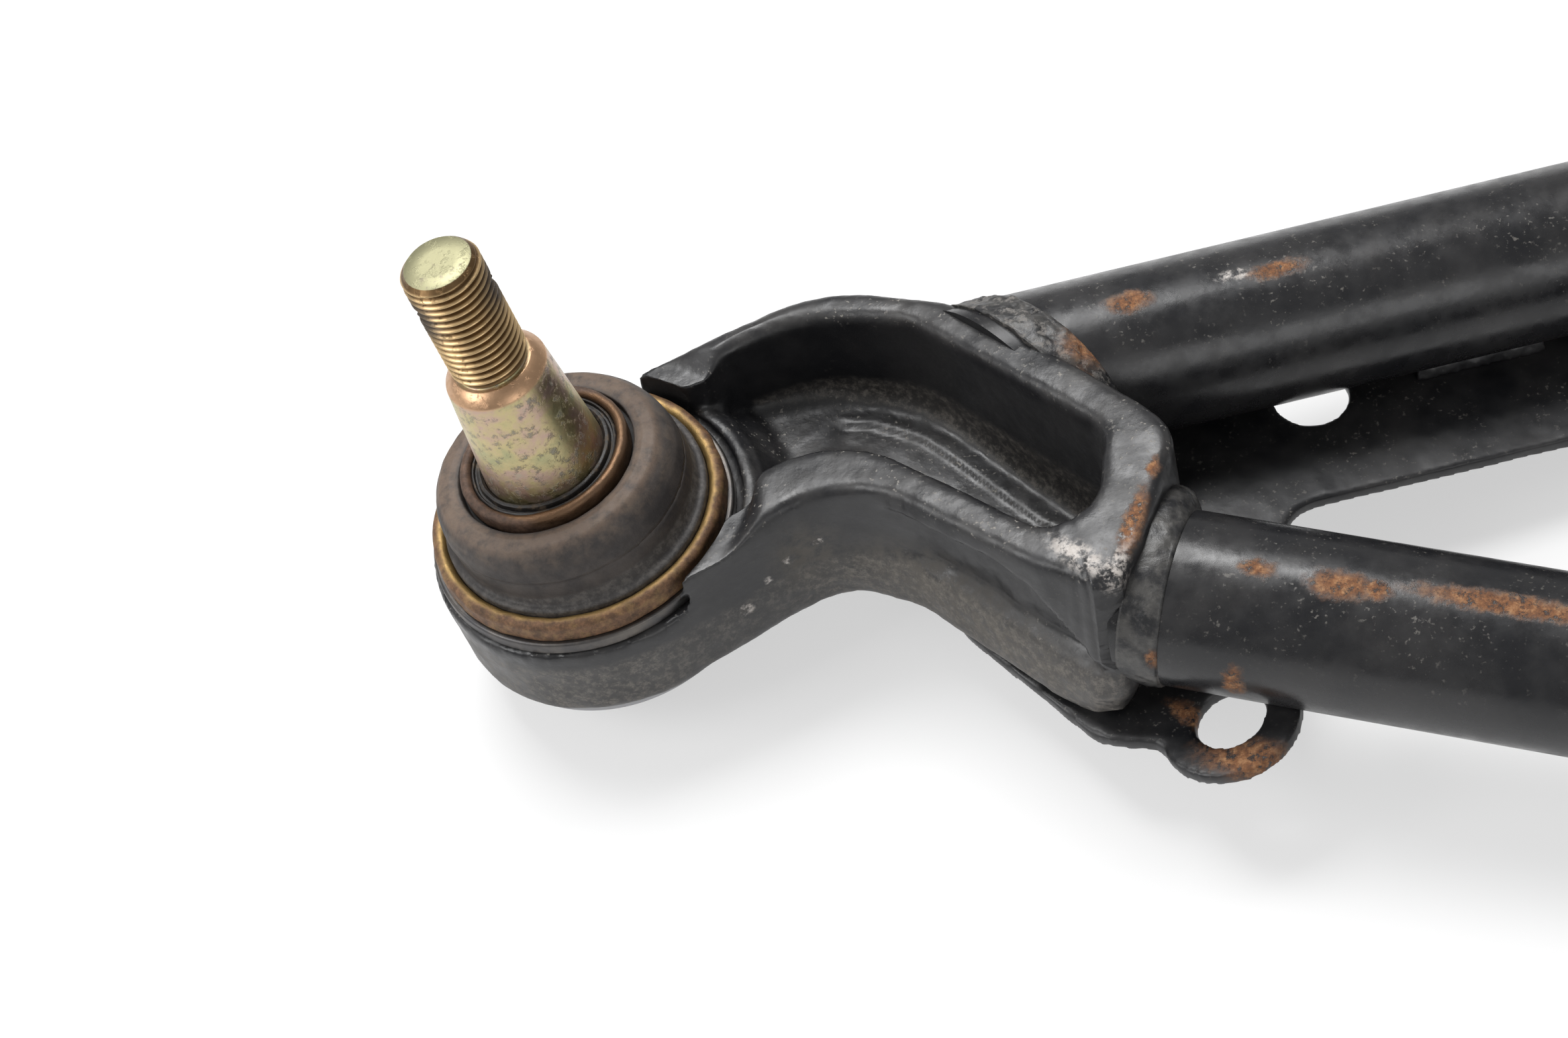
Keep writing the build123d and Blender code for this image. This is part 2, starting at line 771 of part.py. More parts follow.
leg_frame = Plane(origin=leg_plane.origin, x_dir=(-leg_across.X, -leg_across.Y, 0), z_dir=(leg_along.X, leg_along.Y, 0))
tube_beads = []
for place in plate_bead_places:
    for offset in (-plate_bead_offset, plate_bead_offset):
        start = leg_plane.origin + Vector(*leg_point(place, offset))
        tube_beads.append(bar(Plane(origin=start, z_dir=leg_frame.z_dir), plate_bead, plate_bead_length))
web_edge = Vector(*web_far) - Vector(*web_start)
web_bead_start = web_plane.from_local_coords(Vector(*web_start) + web_edge / 4)
web_bead_run = web_plane.x_dir * web_edge.X + web_plane.y_dir * web_edge.Y
edge_bead = bar(Plane(origin=web_bead_start, z_dir=web_bead_run), web_bead, web_edge.length / 2)

with BuildPart() as plate_weld_beads:
    add(tube_beads)
    split(bisect_by=leg_plane, keep=Keep.TOP)
    add(edge_bead)
    add([sides["rear"][-1], guard_plate.part, end_forging.part], mode=Mode.SUBTRACT)
save(plate_weld_beads.part, "plate_weld_beads")
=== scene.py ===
import json
import math

import bmesh
import bpy
import numpy as np
from mathutils import Matrix, Vector, noise


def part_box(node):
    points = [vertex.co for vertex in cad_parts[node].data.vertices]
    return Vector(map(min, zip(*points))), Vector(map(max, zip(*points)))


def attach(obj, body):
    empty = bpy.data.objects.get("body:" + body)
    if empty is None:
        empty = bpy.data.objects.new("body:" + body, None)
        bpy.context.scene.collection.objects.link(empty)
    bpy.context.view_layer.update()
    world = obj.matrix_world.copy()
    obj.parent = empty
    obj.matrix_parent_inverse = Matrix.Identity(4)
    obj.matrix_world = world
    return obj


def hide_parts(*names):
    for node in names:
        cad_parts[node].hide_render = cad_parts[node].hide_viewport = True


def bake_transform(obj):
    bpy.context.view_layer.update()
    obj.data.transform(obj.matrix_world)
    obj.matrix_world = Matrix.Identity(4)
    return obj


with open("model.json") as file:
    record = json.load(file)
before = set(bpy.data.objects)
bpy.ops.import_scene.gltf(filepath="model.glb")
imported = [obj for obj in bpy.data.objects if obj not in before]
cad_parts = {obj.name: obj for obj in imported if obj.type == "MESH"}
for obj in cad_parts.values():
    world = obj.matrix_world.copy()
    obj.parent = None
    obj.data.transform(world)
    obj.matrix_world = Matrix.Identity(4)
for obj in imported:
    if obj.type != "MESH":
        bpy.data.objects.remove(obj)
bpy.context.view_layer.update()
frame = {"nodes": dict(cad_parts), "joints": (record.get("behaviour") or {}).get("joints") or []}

MM = 0.001

# Frames of the ball joint and of its stud, from the record's joints
joints = {joint["name"]: joint for joint in frame["joints"]}
BALL = Vector(joints["stud_tilt_along"]["pos_m"])
JOINT_X = Vector(joints["stud_tilt_along"]["axis"]).normalized()
JOINT_Y = Vector((0, 1, 0))
JOINT_Z = JOINT_X.cross(JOINT_Y).normalized()
STUD_Z = Vector(joints["stud_spin"]["axis"]).normalized()
STUD_Y = Vector(joints["stud_tilt_across"]["axis"]).normalized()
STUD_X = STUD_Y.cross(STUD_Z).normalized()
ARM_LENGTH = 300 * MM
PIVOT_SPACING = 154 * MM
APEX = Vector((-ARM_LENGTH, PIVOT_SPACING / 2, 0))
TUBE_ANGLE = math.atan2(PIVOT_SPACING / 2, ARM_LENGTH)


def frame_matrix(origin, x_dir, y_dir, z_dir):
    """Matrix from local millimetres to the row frame in metres."""
    turn = Matrix((x_dir, y_dir, z_dir)).transposed().to_4x4()
    return Matrix.Translation(origin) @ turn @ Matrix.Scale(MM, 4)


JOINT = frame_matrix(BALL, JOINT_X, JOINT_Y, JOINT_Z)
STUD = frame_matrix(BALL, STUD_X, STUD_Y, STUD_Z)


# Materials

class Nodes:
    """Small helper that adds shader nodes and links their inputs by name."""

    def __init__(self, name):
        self.material = bpy.data.materials.new(name)
        self.material.use_nodes = True
        self.tree = self.material.node_tree
        self.bsdf = self.tree.nodes["Principled BSDF"]
        self.place = self.node("ShaderNodeTexCoord").outputs["Object"]

    def node(self, kind, inputs=(), **settings):
        made = self.tree.nodes.new(kind)
        for key, value in settings.items():
            setattr(made, key, value)
        for key, value in dict(inputs).items():
            self.set(made.inputs[key], value)
        return made

    def set(self, socket, value):
        if isinstance(value, bpy.types.NodeSocket):
            self.tree.links.new(value, socket)
        elif isinstance(value, (int, float)) or not hasattr(socket, "default_value"):
            socket.default_value = value
        else:
            wanted = len(socket.default_value)
            socket.default_value = (*value, 1.0)[:wanted] if len(value) < wanted else value

    def math(self, operation, first, second, clamp=False):
        made = self.node("ShaderNodeMath", {0: first, 1: second}, operation=operation, use_clamp=clamp)
        return made.outputs[0]

    def noise(self, size, detail, rough=0.55, output="Fac"):
        """Noise whose largest lumps are about that many millimetres, between 0 and 1."""
        inputs = {"Vector": self.place, "Scale": 1 / (size * MM), "Detail": detail, "Roughness": rough}
        return self.node("ShaderNodeTexNoise", inputs).outputs[output]

    def vector_math(self, operation, first, second=(0, 0, 0), output="Vector"):
        made = self.node("ShaderNodeVectorMath", {0: first, 1: second}, operation=operation)
        return made.outputs[output]

    def facing(self):
        return self.node("ShaderNodeNewGeometry").outputs["Normal"]

    def dot(self, first, second):
        return self.vector_math("DOT_PRODUCT", first, second, "Value")

    def times(self, first, second):
        return self.math("MULTIPLY", first, second)

    def ramp(self, value, *stops):
        """Piecewise colour or grey: stops are (position, value)."""
        made = self.node("ShaderNodeValToRGB", {"Fac": value})
        elements = made.color_ramp.elements
        while len(elements) < len(stops):
            elements.new(0.5)
        for element, (position, shade) in zip(elements, stops):
            element.position = position
            grey = isinstance(shade, (int, float))
            element.color = (shade, shade, shade, 1) if grey else (*shade, 1)
        return made.outputs["Color"]

    def step(self, value, low, high):
        """0 below low, 1 above high."""
        made = self.node("ShaderNodeMapRange", {"Value": value, "From Min": low, "From Max": high})
        made.interpolation_type = "SMOOTHSTEP"
        return made.outputs["Result"]

    def cloud(self, size, detail, rough, low, high):
        """Noise as a mask, 0 where it is below low and 1 above high."""
        return self.step(self.noise(size, detail, rough), low, high)

    def mix(self, share, first, second):
        """Colour between the first and the second."""
        made = self.node("ShaderNodeMix", data_type="RGBA")
        self.set(made.inputs[0], share)
        self.set(made.inputs[6], first)
        self.set(made.inputs[7], second)
        return made.outputs[2]

    def blend(self, share, first, second):
        """Number between the first and the second."""
        made = self.node("ShaderNodeMix", data_type="FLOAT")
        self.set(made.inputs[0], share)
        self.set(made.inputs[2], first)
        self.set(made.inputs[3], second)
        return made.outputs[0]

    def warped(self, size, amount):
        """The place, shifted by noise, so that edges of patches come out ragged."""
        centred = self.vector_math("SUBTRACT", self.noise(size, 5.0, 0.65, "Color"), (0.5, 0.5, 0.5))
        scaled = self.node("ShaderNodeVectorMath", {0: centred, "Scale": amount * MM}, operation="SCALE")
        return self.vector_math("ADD", self.place, scaled.outputs[0])

    def patch(self, centre, along, half, vector, edge):
        """1 inside an ellipsoid of those half sizes in mm, the first along a direction, 0 outside."""
        inputs = {
            "Vector": vector,
            "Location": Vector(centre) * MM,
            "Rotation": Vector(along).to_track_quat("X", "Z").to_euler(),
            "Scale": Vector(half) * MM,
        }
        local = self.node("ShaderNodeMapping", inputs, vector_type="TEXTURE").outputs[0]
        return self.step(self.vector_math("LENGTH", local, output="Value"), 1 + edge, 1 - edge)

    def patches(self, spots, vector, edge):
        """The strongest of several patches, given as (centre, along, half) in mm."""
        total = 0.0
        for centre, along, half in spots:
            total = self.math("MAXIMUM", self.patch(centre, along, half, vector, edge), total)
        return total

    def bump(self, *layers):
        """Chain of bumps from (height, depth in mm) pairs."""
        normal = None
        for height, depth in layers:
            inputs = {"Height": height, "Distance": depth * MM, "Strength": 1.0}
            if normal:
                inputs["Normal"] = normal
            normal = self.node("ShaderNodeBump", inputs).outputs["Normal"]
        self.set(self.bsdf.inputs["Normal"], normal)

    def finish(self, **inputs):
        """Sets inputs of the surface, whose names have _ for a blank, and gives the material."""
        for key, value in inputs.items():
            self.set(self.bsdf.inputs[key.replace("_", " ")], value)
        return self.material


BLACK = (0.0085, 0.0088, 0.0105)
BLACK_WORN = (0.020, 0.0195, 0.0205)
DUST = (0.30, 0.28, 0.25)
RUST_DARK = (0.070, 0.030, 0.016)
RUST_MID = (0.200, 0.085, 0.034)
RUST_PALE = (0.420, 0.230, 0.110)


# Grey of the dust and of the painted sheen on the near side of the forging's lower band
BAND_POWDER_AND_SHEEN = (0.22, 0.20, 0.175)
GRIME = (0.16, 0.145, 0.125)
BARE_METAL = ((0.20, 0.16, 0.13), (0.72, 0.69, 0.66))
BAND_FADE = (7.6, 5.4)
BAND_WAY = (-0.45, -0.89, 0)
UP = (0, 0, 1)


def rust_colour(mat, size=1.2):
    """Mottled rust, dark in the pits and pale on the crust."""
    return mat.ramp(mat.noise(size, 6, 0.7), (0.30, RUST_DARK), (0.50, RUST_MID), (0.72, RUST_PALE))


def band_dust_and_sheen(mat):
    """Share of grey dust and of painted sheen, where the flare catches the light, on the near side of the
    forging's lower band.
    """
    height = mat.dot(mat.vector_math("SUBTRACT", mat.place, BALL), JOINT_Z / MM)
    near_side = mat.step(mat.dot(mat.facing(), BAND_WAY), 0.35, 0.7)
    band = mat.times(mat.step(height, *BAND_FADE), near_side)
    fleck = mat.cloud(1.3, 7, 0.8, 0.44, 0.66)
    return mat.times(band, mat.blend(fleck, 0.10, 0.60))


def black_paint(name, rough=0.36, dust=0.35, grain=0.012, rust=(), scuffs=(), film=(), band=False):
    """Black paint over steel, with dust on what faces up, and rust, scuffs and grime in patches."""
    mat = Nodes(name)
    colour = mat.mix(mat.cloud(14, 3, 0.55, 0.35, 0.7), BLACK, BLACK_WORN)
    upward = mat.step(mat.dot(mat.facing(), UP), -0.1, 0.9)
    specks = mat.times(mat.cloud(0.7, 2, 0.6, 0.60, 0.74), mat.cloud(9, 3, 0.55, 0.40, 0.62))
    haze = mat.times(mat.cloud(6, 6, 0.7, 0.38, 0.8), 0.11)
    dusty = mat.times(mat.math("ADD", specks, haze, True), mat.times(upward, dust))
    colour = mat.mix(dusty, colour, DUST)
    roughness = mat.blend(mat.cloud(3.5, 4, 0.55, 0.3, 0.7), rough - 0.07, rough + 0.09)
    roughness = mat.blend(dusty, roughness, 0.85)
    height = mat.noise(1.4, 3, 0.5)
    ragged = mat.warped(2.2, 3.2)
    # Lower band: grey dust with a painted sheen on its near side, where the flare catches the light
    if band:
        powder_and_sheen = band_dust_and_sheen(mat)
        colour = mat.mix(powder_and_sheen, colour, BAND_POWDER_AND_SHEEN)
        roughness = mat.blend(powder_and_sheen, roughness, 0.85)
    if film:
        grime = mat.times(mat.patches(film, ragged, 0.8), mat.cloud(2.0, 5, 0.7, 0.3, 0.62))
        colour = mat.mix(mat.times(grime, 0.5), colour, GRIME)
        roughness = mat.blend(grime, roughness, 0.8)
    if scuffs:
        bare = mat.patches(scuffs, mat.warped(0.9, 1.6), 0.5)
        worn = mat.times(bare, mat.cloud(1.6, 6, 0.7, 0.44, 0.60))
        colour = mat.mix(worn, colour, mat.mix(mat.noise(1.0, 5, 0.7), *BARE_METAL))
        roughness = mat.blend(worn, roughness, 0.6)
    layers = [(height, grain)]
    if rust:
        bloom = mat.patches(rust, ragged, 0.55)
        eaten = mat.times(bloom, mat.cloud(1.1, 6, 0.75, 0.36, 0.52))
        colour = mat.mix(eaten, colour, rust_colour(mat))
        roughness = mat.blend(eaten, roughness, 0.85)
        layers.append((mat.times(eaten, mat.noise(0.5, 4, 0.8)), 0.10))
    mat.bump(*layers)
    return mat.finish(Base_Color=colour, Roughness=roughness)


def machined_steel(name, colour, rough, tint=None):
    """Plated or phosphated steel with mottled finish."""
    mat = Nodes(name)
    shade = mat.mix(mat.cloud(5, 5, 0.6, 0.3, 0.75), colour, tint or colour)
    fine = mat.noise(0.6, 4, 0.7)
    roughness = mat.blend(fine, rough - 0.08, rough + 0.12)
    mat.bump((fine, 0.02))
    return mat.finish(Base_Color=shade, Metallic=1.0, Roughness=roughness)


def moulded_plastic(name, colour):
    """Matt plastic with a faint cloudy shade."""
    mat = Nodes(name)
    cloud = mat.noise(4, 4)
    shade = mat.mix(cloud, tuple(0.8 * value for value in colour), colour)
    mat.bump((mat.noise(0.4, 3), 0.01))
    return mat.finish(Base_Color=shade, Roughness=mat.blend(cloud, 0.45, 0.58))


# Studio: pale floor under the resting part, white room, overhead soft light

ROOM_LIGHT = 0.34
FLOOR_REACH = 3.0
FLOOR_GLOW = 0.55
LOWEST_EDGE = 13.5 * MM
CAMERA_PLACE = Vector((-0.1973, -0.2703, 0.4409))
CAMERA_TARGET = Vector((-0.2654, 0.0700, 0))
CAMERA_ROLL = math.radians(11.02)
CAMERA_LENS = 88.18
LIGHTS = (
    ("overhead_softbox", (-0.45, 0.40, 0.72), (-0.25, 0.08, 0), (0.5, 0.35), 7.5),
    ("left_fill", (-0.95, -0.15, 0.45), (-0.27, 0.07, 0), (0.4, 0.4), 3.0),
    ("front_fill", (0.15, -0.7, 0.5), (-0.2, 0.07, 0), (0.6, 0.4), 1.6),
)


def look_at(obj, target, roll=0.0):
    """Turns a lamp or camera to a point, then about its own view by the roll."""
    direction = Vector(target) - obj.location
    obj.rotation_mode = "QUATERNION"
    turn = direction.to_track_quat("-Z", "Y")
    obj.rotation_quaternion = turn @ Matrix.Rotation(roll, 3, "Z").to_quaternion()


def area_light(name, location, target, size, energy):
    light = bpy.data.lights.new(name, "AREA")
    light.shape = "RECTANGLE"
    light.size, light.size_y = size
    light.energy = energy
    lamp = bpy.data.objects.new(name, light)
    bpy.context.collection.objects.link(lamp)
    lamp.location = location
    look_at(lamp, target)


def camera_ray(mat):
    """1 for what the camera, a mirror or glass sees directly."""
    path = mat.node("ShaderNodeLightPath")
    seen = mat.math("MAXIMUM", path.outputs["Is Camera Ray"], path.outputs["Is Glossy Ray"])
    return mat.math("MAXIMUM", seen, path.outputs["Is Transmission Ray"])


def make_floor():
    """Floor through the lowest edge of the ball joint and of the pivots' dust caps."""
    housing_low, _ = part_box("ball_joint_housing")
    cap_low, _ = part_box("front_outer_dust_cap")
    end = Vector((BALL.x - LOWEST_EDGE, BALL.y, housing_low[2]))
    pivots = Vector((0, PIVOT_SPACING / 2, cap_low[2]))
    slope = (pivots - end).normalized() * FLOOR_REACH
    across = Vector((0, FLOOR_REACH, 0))
    middle = (end + pivots) / 2
    corners = [middle + sign_x * slope + sign_y * across
               for sign_x, sign_y in ((-1, -1), (1, -1), (1, 1), (-1, 1))]
    mesh = bpy.data.meshes.new("floor")
    mesh.from_pydata(corners, [], [(0, 1, 2, 3)])
    floor = bpy.data.objects.new("floor", mesh)
    bpy.context.collection.objects.link(floor)
    mat = Nodes("floor_white")
    mat.set(mat.bsdf.inputs["Base Color"], (0.86, 0.86, 0.86))
    mat.set(mat.bsdf.inputs["Roughness"], 0.9)
    glow = mat.node("ShaderNodeEmission", {"Color": (1, 1, 1), "Strength": 1.0})
    share = mat.times(camera_ray(mat), FLOOR_GLOW)
    both = mat.node("ShaderNodeMixShader", {0: share, 1: mat.bsdf.outputs[0], 2: glow.outputs[0]})
    output = mat.tree.nodes["Material Output"]
    mat.tree.links.new(both.outputs[0], output.inputs["Surface"])
    mesh.materials.append(mat.material)


def make_world():
    """White behind the part, and a dimmer white light from all sides."""
    world = bpy.data.worlds.new("white_room")
    world.use_nodes = True
    nodes = world.node_tree.nodes
    background = nodes["Background"]
    background.inputs["Color"].default_value = (1, 1, 1, 1)
    path = nodes.new("ShaderNodeLightPath")
    mix = nodes.new("ShaderNodeMix")
    mix.inputs[2].default_value = ROOM_LIGHT
    mix.inputs[3].default_value = 1.0
    world.node_tree.links.new(path.outputs["Is Camera Ray"], mix.inputs[0])
    world.node_tree.links.new(mix.outputs[0], background.inputs["Strength"])
    bpy.context.scene.world = world


def make_camera():
    data = bpy.data.cameras.new("camera")
    data.lens = CAMERA_LENS
    data.sensor_width = 36
    data.clip_start = 0.01
    camera = bpy.data.objects.new("camera", data)
    bpy.context.collection.objects.link(camera)
    camera.location = CAMERA_PLACE
    look_at(camera, CAMERA_TARGET, -CAMERA_ROLL)
    bpy.context.scene.camera = camera


make_world()
make_floor()
make_camera()
for light in LIGHTS:
    area_light(*light)
bpy.context.scene.view_settings.view_transform = "Standard"


# Shapes, in mm unless they say metres

SAME_PLACE = 1e-7


def merge_points(shell):
    bmesh.ops.remove_doubles(shell, verts=shell.verts, dist=SAME_PLACE)


def drop_slivers(shell):
    bmesh.ops.dissolve_degenerate(shell, edges=shell.edges, dist=SAME_PLACE)


def face_outward(shell):
    bmesh.ops.recalc_face_normals(shell, faces=shell.faces)


def cleaned(mesh, *jobs):
    """Does those jobs on a mesh, in that order."""
    shell = bmesh.new()
    shell.from_mesh(mesh)
    for job in jobs:
        job(shell)
    shell.to_mesh(mesh)
    shell.free()
    return mesh


def baked(obj):
    """Mesh of an object after its modifiers, in place of the object."""
    shown = obj.evaluated_get(bpy.context.evaluated_depsgraph_get())
    made = bpy.data.meshes.new_from_object(shown)
    bpy.data.objects.remove(obj)
    return made


def drafted(mesh):
    """Object in the scene that holds a mesh for its modifiers."""
    obj = bpy.data.objects.new("draft", mesh)
    bpy.context.collection.objects.link(obj)
    return obj


def arc(before, corner, after, radius, steps):
    """Points of the arc that rounds the corner of two edges."""
    here = Vector(corner)
    back = (Vector(before) - here).normalized()
    ahead = (Vector(after) - here).normalized()
    half = back.angle(ahead) / 2
    reach = radius / math.tan(half)
    centre = here + (back + ahead).normalized() * (radius / math.sin(half))
    start, end = here + back * reach - centre, here + ahead * reach - centre
    spokes = [start.lerp(end, step / steps).normalized() for step in range(steps + 1)]
    return [tuple(centre + spoke * radius) for spoke in spokes]


def on_ring(radius, angle, height):
    return Vector((radius * math.cos(angle), radius * math.sin(angle), height))


def smoothstep(low, high, value):
    """0 below low and 1 above high, or the other way round if low is the higher one."""
    share = np.clip((value - low) / (high - low), 0.0, 1.0)
    return share * share * (3 - 2 * share)


def lumps(points, size, seed):
    """Fractal noise at each point, about -1 to 1, whose largest lumps are that size."""
    shift = Vector((seed, seed * 0.7, -seed))
    return np.array([noise.fractal(Vector(point) / size + shift, 0.7, 2.0, 3) for point in points])


def local_points(mesh, frame_to):
    """Vertices and normals of a mesh in a local frame, in mm."""
    count = len(mesh.vertices)
    places = np.empty(count * 3)
    mesh.vertices.foreach_get("co", places)
    normals = np.array([vertex.normal for vertex in mesh.vertices])
    back = np.array(frame_to.inverted())
    turn = back[:3, :3] * MM
    return places.reshape(-1, 3) @ back[:3, :3].T + back[:3, 3], normals @ turn.T


def put_points(mesh, frame_to, points):
    """Moves a mesh's vertices to points given in a local frame, in mm."""
    there = np.array(frame_to)
    mesh.vertices.foreach_set("co", (points @ there[:3, :3].T + there[:3, 3]).ravel())
    mesh.update()


def new_piece(name, mesh, body, material, slot, *nodes):
    """Shades a mesh smooth and lets it ride on a body, in place of CAD nodes."""
    mesh.materials.clear()
    mesh.materials.append(material)
    mesh.polygons.foreach_set("use_smooth", [True] * len(mesh.polygons))
    obj = bpy.data.objects.new(name, mesh)
    bpy.context.collection.objects.link(obj)
    if body:
        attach(obj, body)
    if nodes:
        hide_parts(*nodes)
    return obj


def remeshed(node, voxel, rounds):
    """Copy of a CAD node's mesh in even quads of that size, with its edges softened."""
    obj = drafted(cleaned(frame["nodes"][node].data.copy(), merge_points))
    remesh = obj.modifiers.new("remesh", "REMESH")
    remesh.mode = "VOXEL"
    remesh.voxel_size = voxel * MM
    smooth = obj.modifiers.new("smooth", "SMOOTH")
    smooth.factor = 0.5
    smooth.iterations = rounds
    return baked(obj)


def sculpt(node, voxel, depth, size, seed):
    """Remeshed copy of a node with an uneven skin of lumps of that size."""
    mesh = remeshed(node, voxel, 2)
    points, normals = local_points(mesh, Matrix.Scale(MM, 4))
    points += normals * (depth * lumps(points, size, seed))[:, None]
    put_points(mesh, Matrix.Scale(MM, 4), points)
    return mesh


def lathe(name, rows, place_ring, steps, closed=True):
    """Mesh of revolution: place_ring(row, angle) gives a point in metres for each of the rows."""
    turn = [2 * math.pi * step / steps for step in range(steps)]
    points = [place_ring(row, angle) for row in range(len(rows)) for angle in turn]
    faces = []
    for row in range(len(rows) if closed else len(rows) - 1):
        here, there = row * steps, (row + 1) % len(rows) * steps
        for step in range(steps):
            ahead = (step + 1) % steps
            faces.append((here + step, here + ahead, there + ahead, there + step))
    mesh = bpy.data.meshes.new(name)
    mesh.from_pydata(points, [], faces)
    return cleaned(mesh, face_outward)


def rounded(profile, steps=5):
    """Closed profile of (radius, height, rounding) corners, with each corner rounded."""
    corners = [corner[:2] for corner in profile]
    done = []
    for index, (*corner, rounding) in enumerate(profile):
        after = corners[(index + 1) % len(corners)]
        if rounding:
            done += arc(corners[index - 1], corner, after, rounding, steps)
        else:
            done.append(tuple(Vector(corner)))
    return done


def dense(profile, gap):
    """The closed profile with points added so that none are further apart than the gap."""
    done = []
    for here, after in zip(profile, [*profile[1:], profile[0]]):
        here, after = Vector(here), Vector(after)
        parts = max(1, math.ceil((after - here).length / gap))
        done += [tuple(here.lerp(after, part / parts)) for part in range(parts)]
    return done


def turned_piece(name, profile, frame_to, body, material, slot, node, wobble, size, steps, gap):
    """Lathed ring or sleeve whose radius wobbles in lumps of that size, in place of a CAD node."""
    rows = dense(rounded(profile), gap)

    def place_ring(row, angle):
        radius, height = rows[row]
        radius += wobble * noise.fractal(on_ring(radius, angle, height) / size, 0.8, 2.0, 3)
        return frame_to @ on_ring(radius, angle, height)

    return new_piece(name, lathe(name, rows, place_ring, steps), body, material, slot, node)


# End forging: its walls are fitted to the photograph's outline, and then it gets a hollow under
# the near shoulder, a flared lower band, a step in the channel's floor and its forged skin

FAR_START = (0.0, 21.3)
FAR_BEND_OUTER = (36.6, 34.2)
NEAR_BEND = (42.5, -4.4)
NEAR_CORNER = (80.7, -38.4)
PACKED_BOSS = 24.7
PACKED_PLAN = (FAR_START, FAR_BEND_OUTER, (57.6, 28.4), (92.0, -3.8), (81.3, -43.2), NEAR_BEND)
PACKED_RADII = (25.0, 18.0, 9.0, 10.0, 18.0)
PACKED_WALL = 8.3
PACKED_RIM = 14.8
PACKED_FLOOR = PACKED_RIM - 16.5
BOSS_RADIUS = 24.1
PLAN = (FAR_START, FAR_BEND_OUTER, (57.0, 27.2), (90.6, -4.8), NEAR_CORNER, NEAR_BEND)
PLAN_RADII = (25.0, 18.0, 9.0, 3.5, 18.0)
CHANNEL = ((-1.0, 15.0), (33.1, 27.0), (49.7, 22.4), (79.1, -4.4), (77.5, -21.0), (39.8, 7.2),
           (4.3, -12.8))
CHANNEL_RADII = (22.0, 12.0, 5.0, 4.5, 21.0)
RIM_HEIGHT = 16.6
FLOOR_HEIGHT = 7.355
FORGING_BOTTOM = -5.0
PARTING = 2.0
LEAN = math.tan(math.asin(JOINT_X.z))
RIM_RISE = math.tan(math.radians(5.3))
CHANNEL_SLOPE = math.tan(math.radians(4.0))
PACKED_BOSS_SLOPE = math.tan(math.radians(3))
BOSS_SLOPE = math.tan(math.radians(2))
BOSS_TOP = 10.0
# Stretches over which one fitted form passes into the next: depth in the wall, height over the
# open underside, distance from the ball's axis, and distance along the arm
OUTER_TO_INNER = (2.2, 6.2)
OPEN_SIDE = (-4.6, -3.2)
PAST_LIP = (27.0, 31.5)
BOSS_WALL = (21.5, 23.5)
LEANING_END = (48, 72)
BEHIND_BOSS = (10.0, 26.0)
BOSS_FRONT = (18.0, 6.0)
FLOOR_FILLET = (6.0, -1.0)
BOSS_HEIGHTS = ((-6, 3, 7.6, 10.2, PACKED_RIM), (-6, 3, 10.0, 11.4, RIM_HEIGHT))

# Near side, measured along it from its bend: the shoulder's height, and the band's flare by height
SHOULDER = ((-4, 6.8, 16.4, 26.8, 33.9, 39.6, 44.0, 52.0),
            (17.0, 17.6, 17.8, 18.6, 17.0, 12.0, 8.5, 6.0))
BAND_TOP = 6.6
BAND_FLARE = ((-6, -3.5, 3, BAND_TOP, BAND_TOP + 1), (1.9, 1.8, 0.9, 0.25, 0.0))
HOLLOW_DEPTH = 2.2
HOLLOW_START = (3, 16)
HOLLOW_LUMPS = 0.25
STEP_DROP = 0.65
HUMP = 1.3
HUMP_PLACE = (37.4, 12.4)
HUMP_SIZE = (3.8, 1.9)
FLOOR_STEP = ((34.0, 20.4), (41.4, 19.8), (45.7, 18.1), (49.6, 16.3), (54.4, 12.0), (62.1, 4.6),
              (67.2, -0.2), (71.1, -2.3), (74.2, -1.5), (77.0, 1.5))


def with_start(plan, boss_radius):
    """The open outline, closed off by its near side's tangent point on the boss."""
    bend = plan[-1]
    slope = math.atan2(bend[1], bend[0]) + math.asin(boss_radius / math.hypot(*bend))
    return [*plan, (boss_radius * math.sin(slope), -boss_radius * math.cos(slope))]


def rounded_path(corners, radii, steps=8):
    """Open path with an arc of that radius at each inner corner."""
    done = [tuple(corners[0])]
    for before, corner, after, radius in zip(corners, corners[1:], corners[2:], radii):
        done += arc(before, corner, after, radius, steps)
    return [*done, tuple(corners[-1])]


def inset_path(corners, distance):
    """Corners of an open clockwise outline moved inward."""
    moved = []
    for index, corner in enumerate(corners):
        here = Vector(corner)
        arriving = here - Vector(corners[max(index - 1, 0)])
        leaving = Vector(corners[min(index + 1, len(corners) - 1)]) - here
        arriving = arriving if index else leaving
        leaving = leaving if corner != corners[-1] else arriving
        run = arriving.normalized() + leaving.normalized()
        inward = Vector((run.y, -run.x)).normalized()
        moved.append(tuple(here + inward * (distance / (run.length / 2))))
    return moved


def beside(path, points):
    """Signed distance in mm of plan points from an open path, positive on its right."""
    best = np.full(len(points), 1e9)
    signed = np.zeros(len(points))
    for start, end in zip(path, path[1:]):
        start, end = np.array(start), np.array(end)
        run = end - start
        share = np.clip((points - start) @ run / (run @ run), 0, 1)
        off = points - (start + share[:, None] * run)
        reach = np.hypot(off[:, 0], off[:, 1])
        side = np.sign(off[:, 0] * run[1] - off[:, 1] * run[0])
        nearer = reach < best
        best[nearer] = reach[nearer]
        signed[nearer] = (side * reach)[nearer]
    return signed


def towards(path, points, wanted):
    """Moves of plan points after which they lie at the wanted distances beside the path."""
    here = beside(path, points)
    tiny = 0.05
    slope = np.column_stack([(beside(path, points + step) - here) / tiny
                             for step in ((tiny, 0), (0, tiny))])
    return slope * (wanted - here)[:, None]


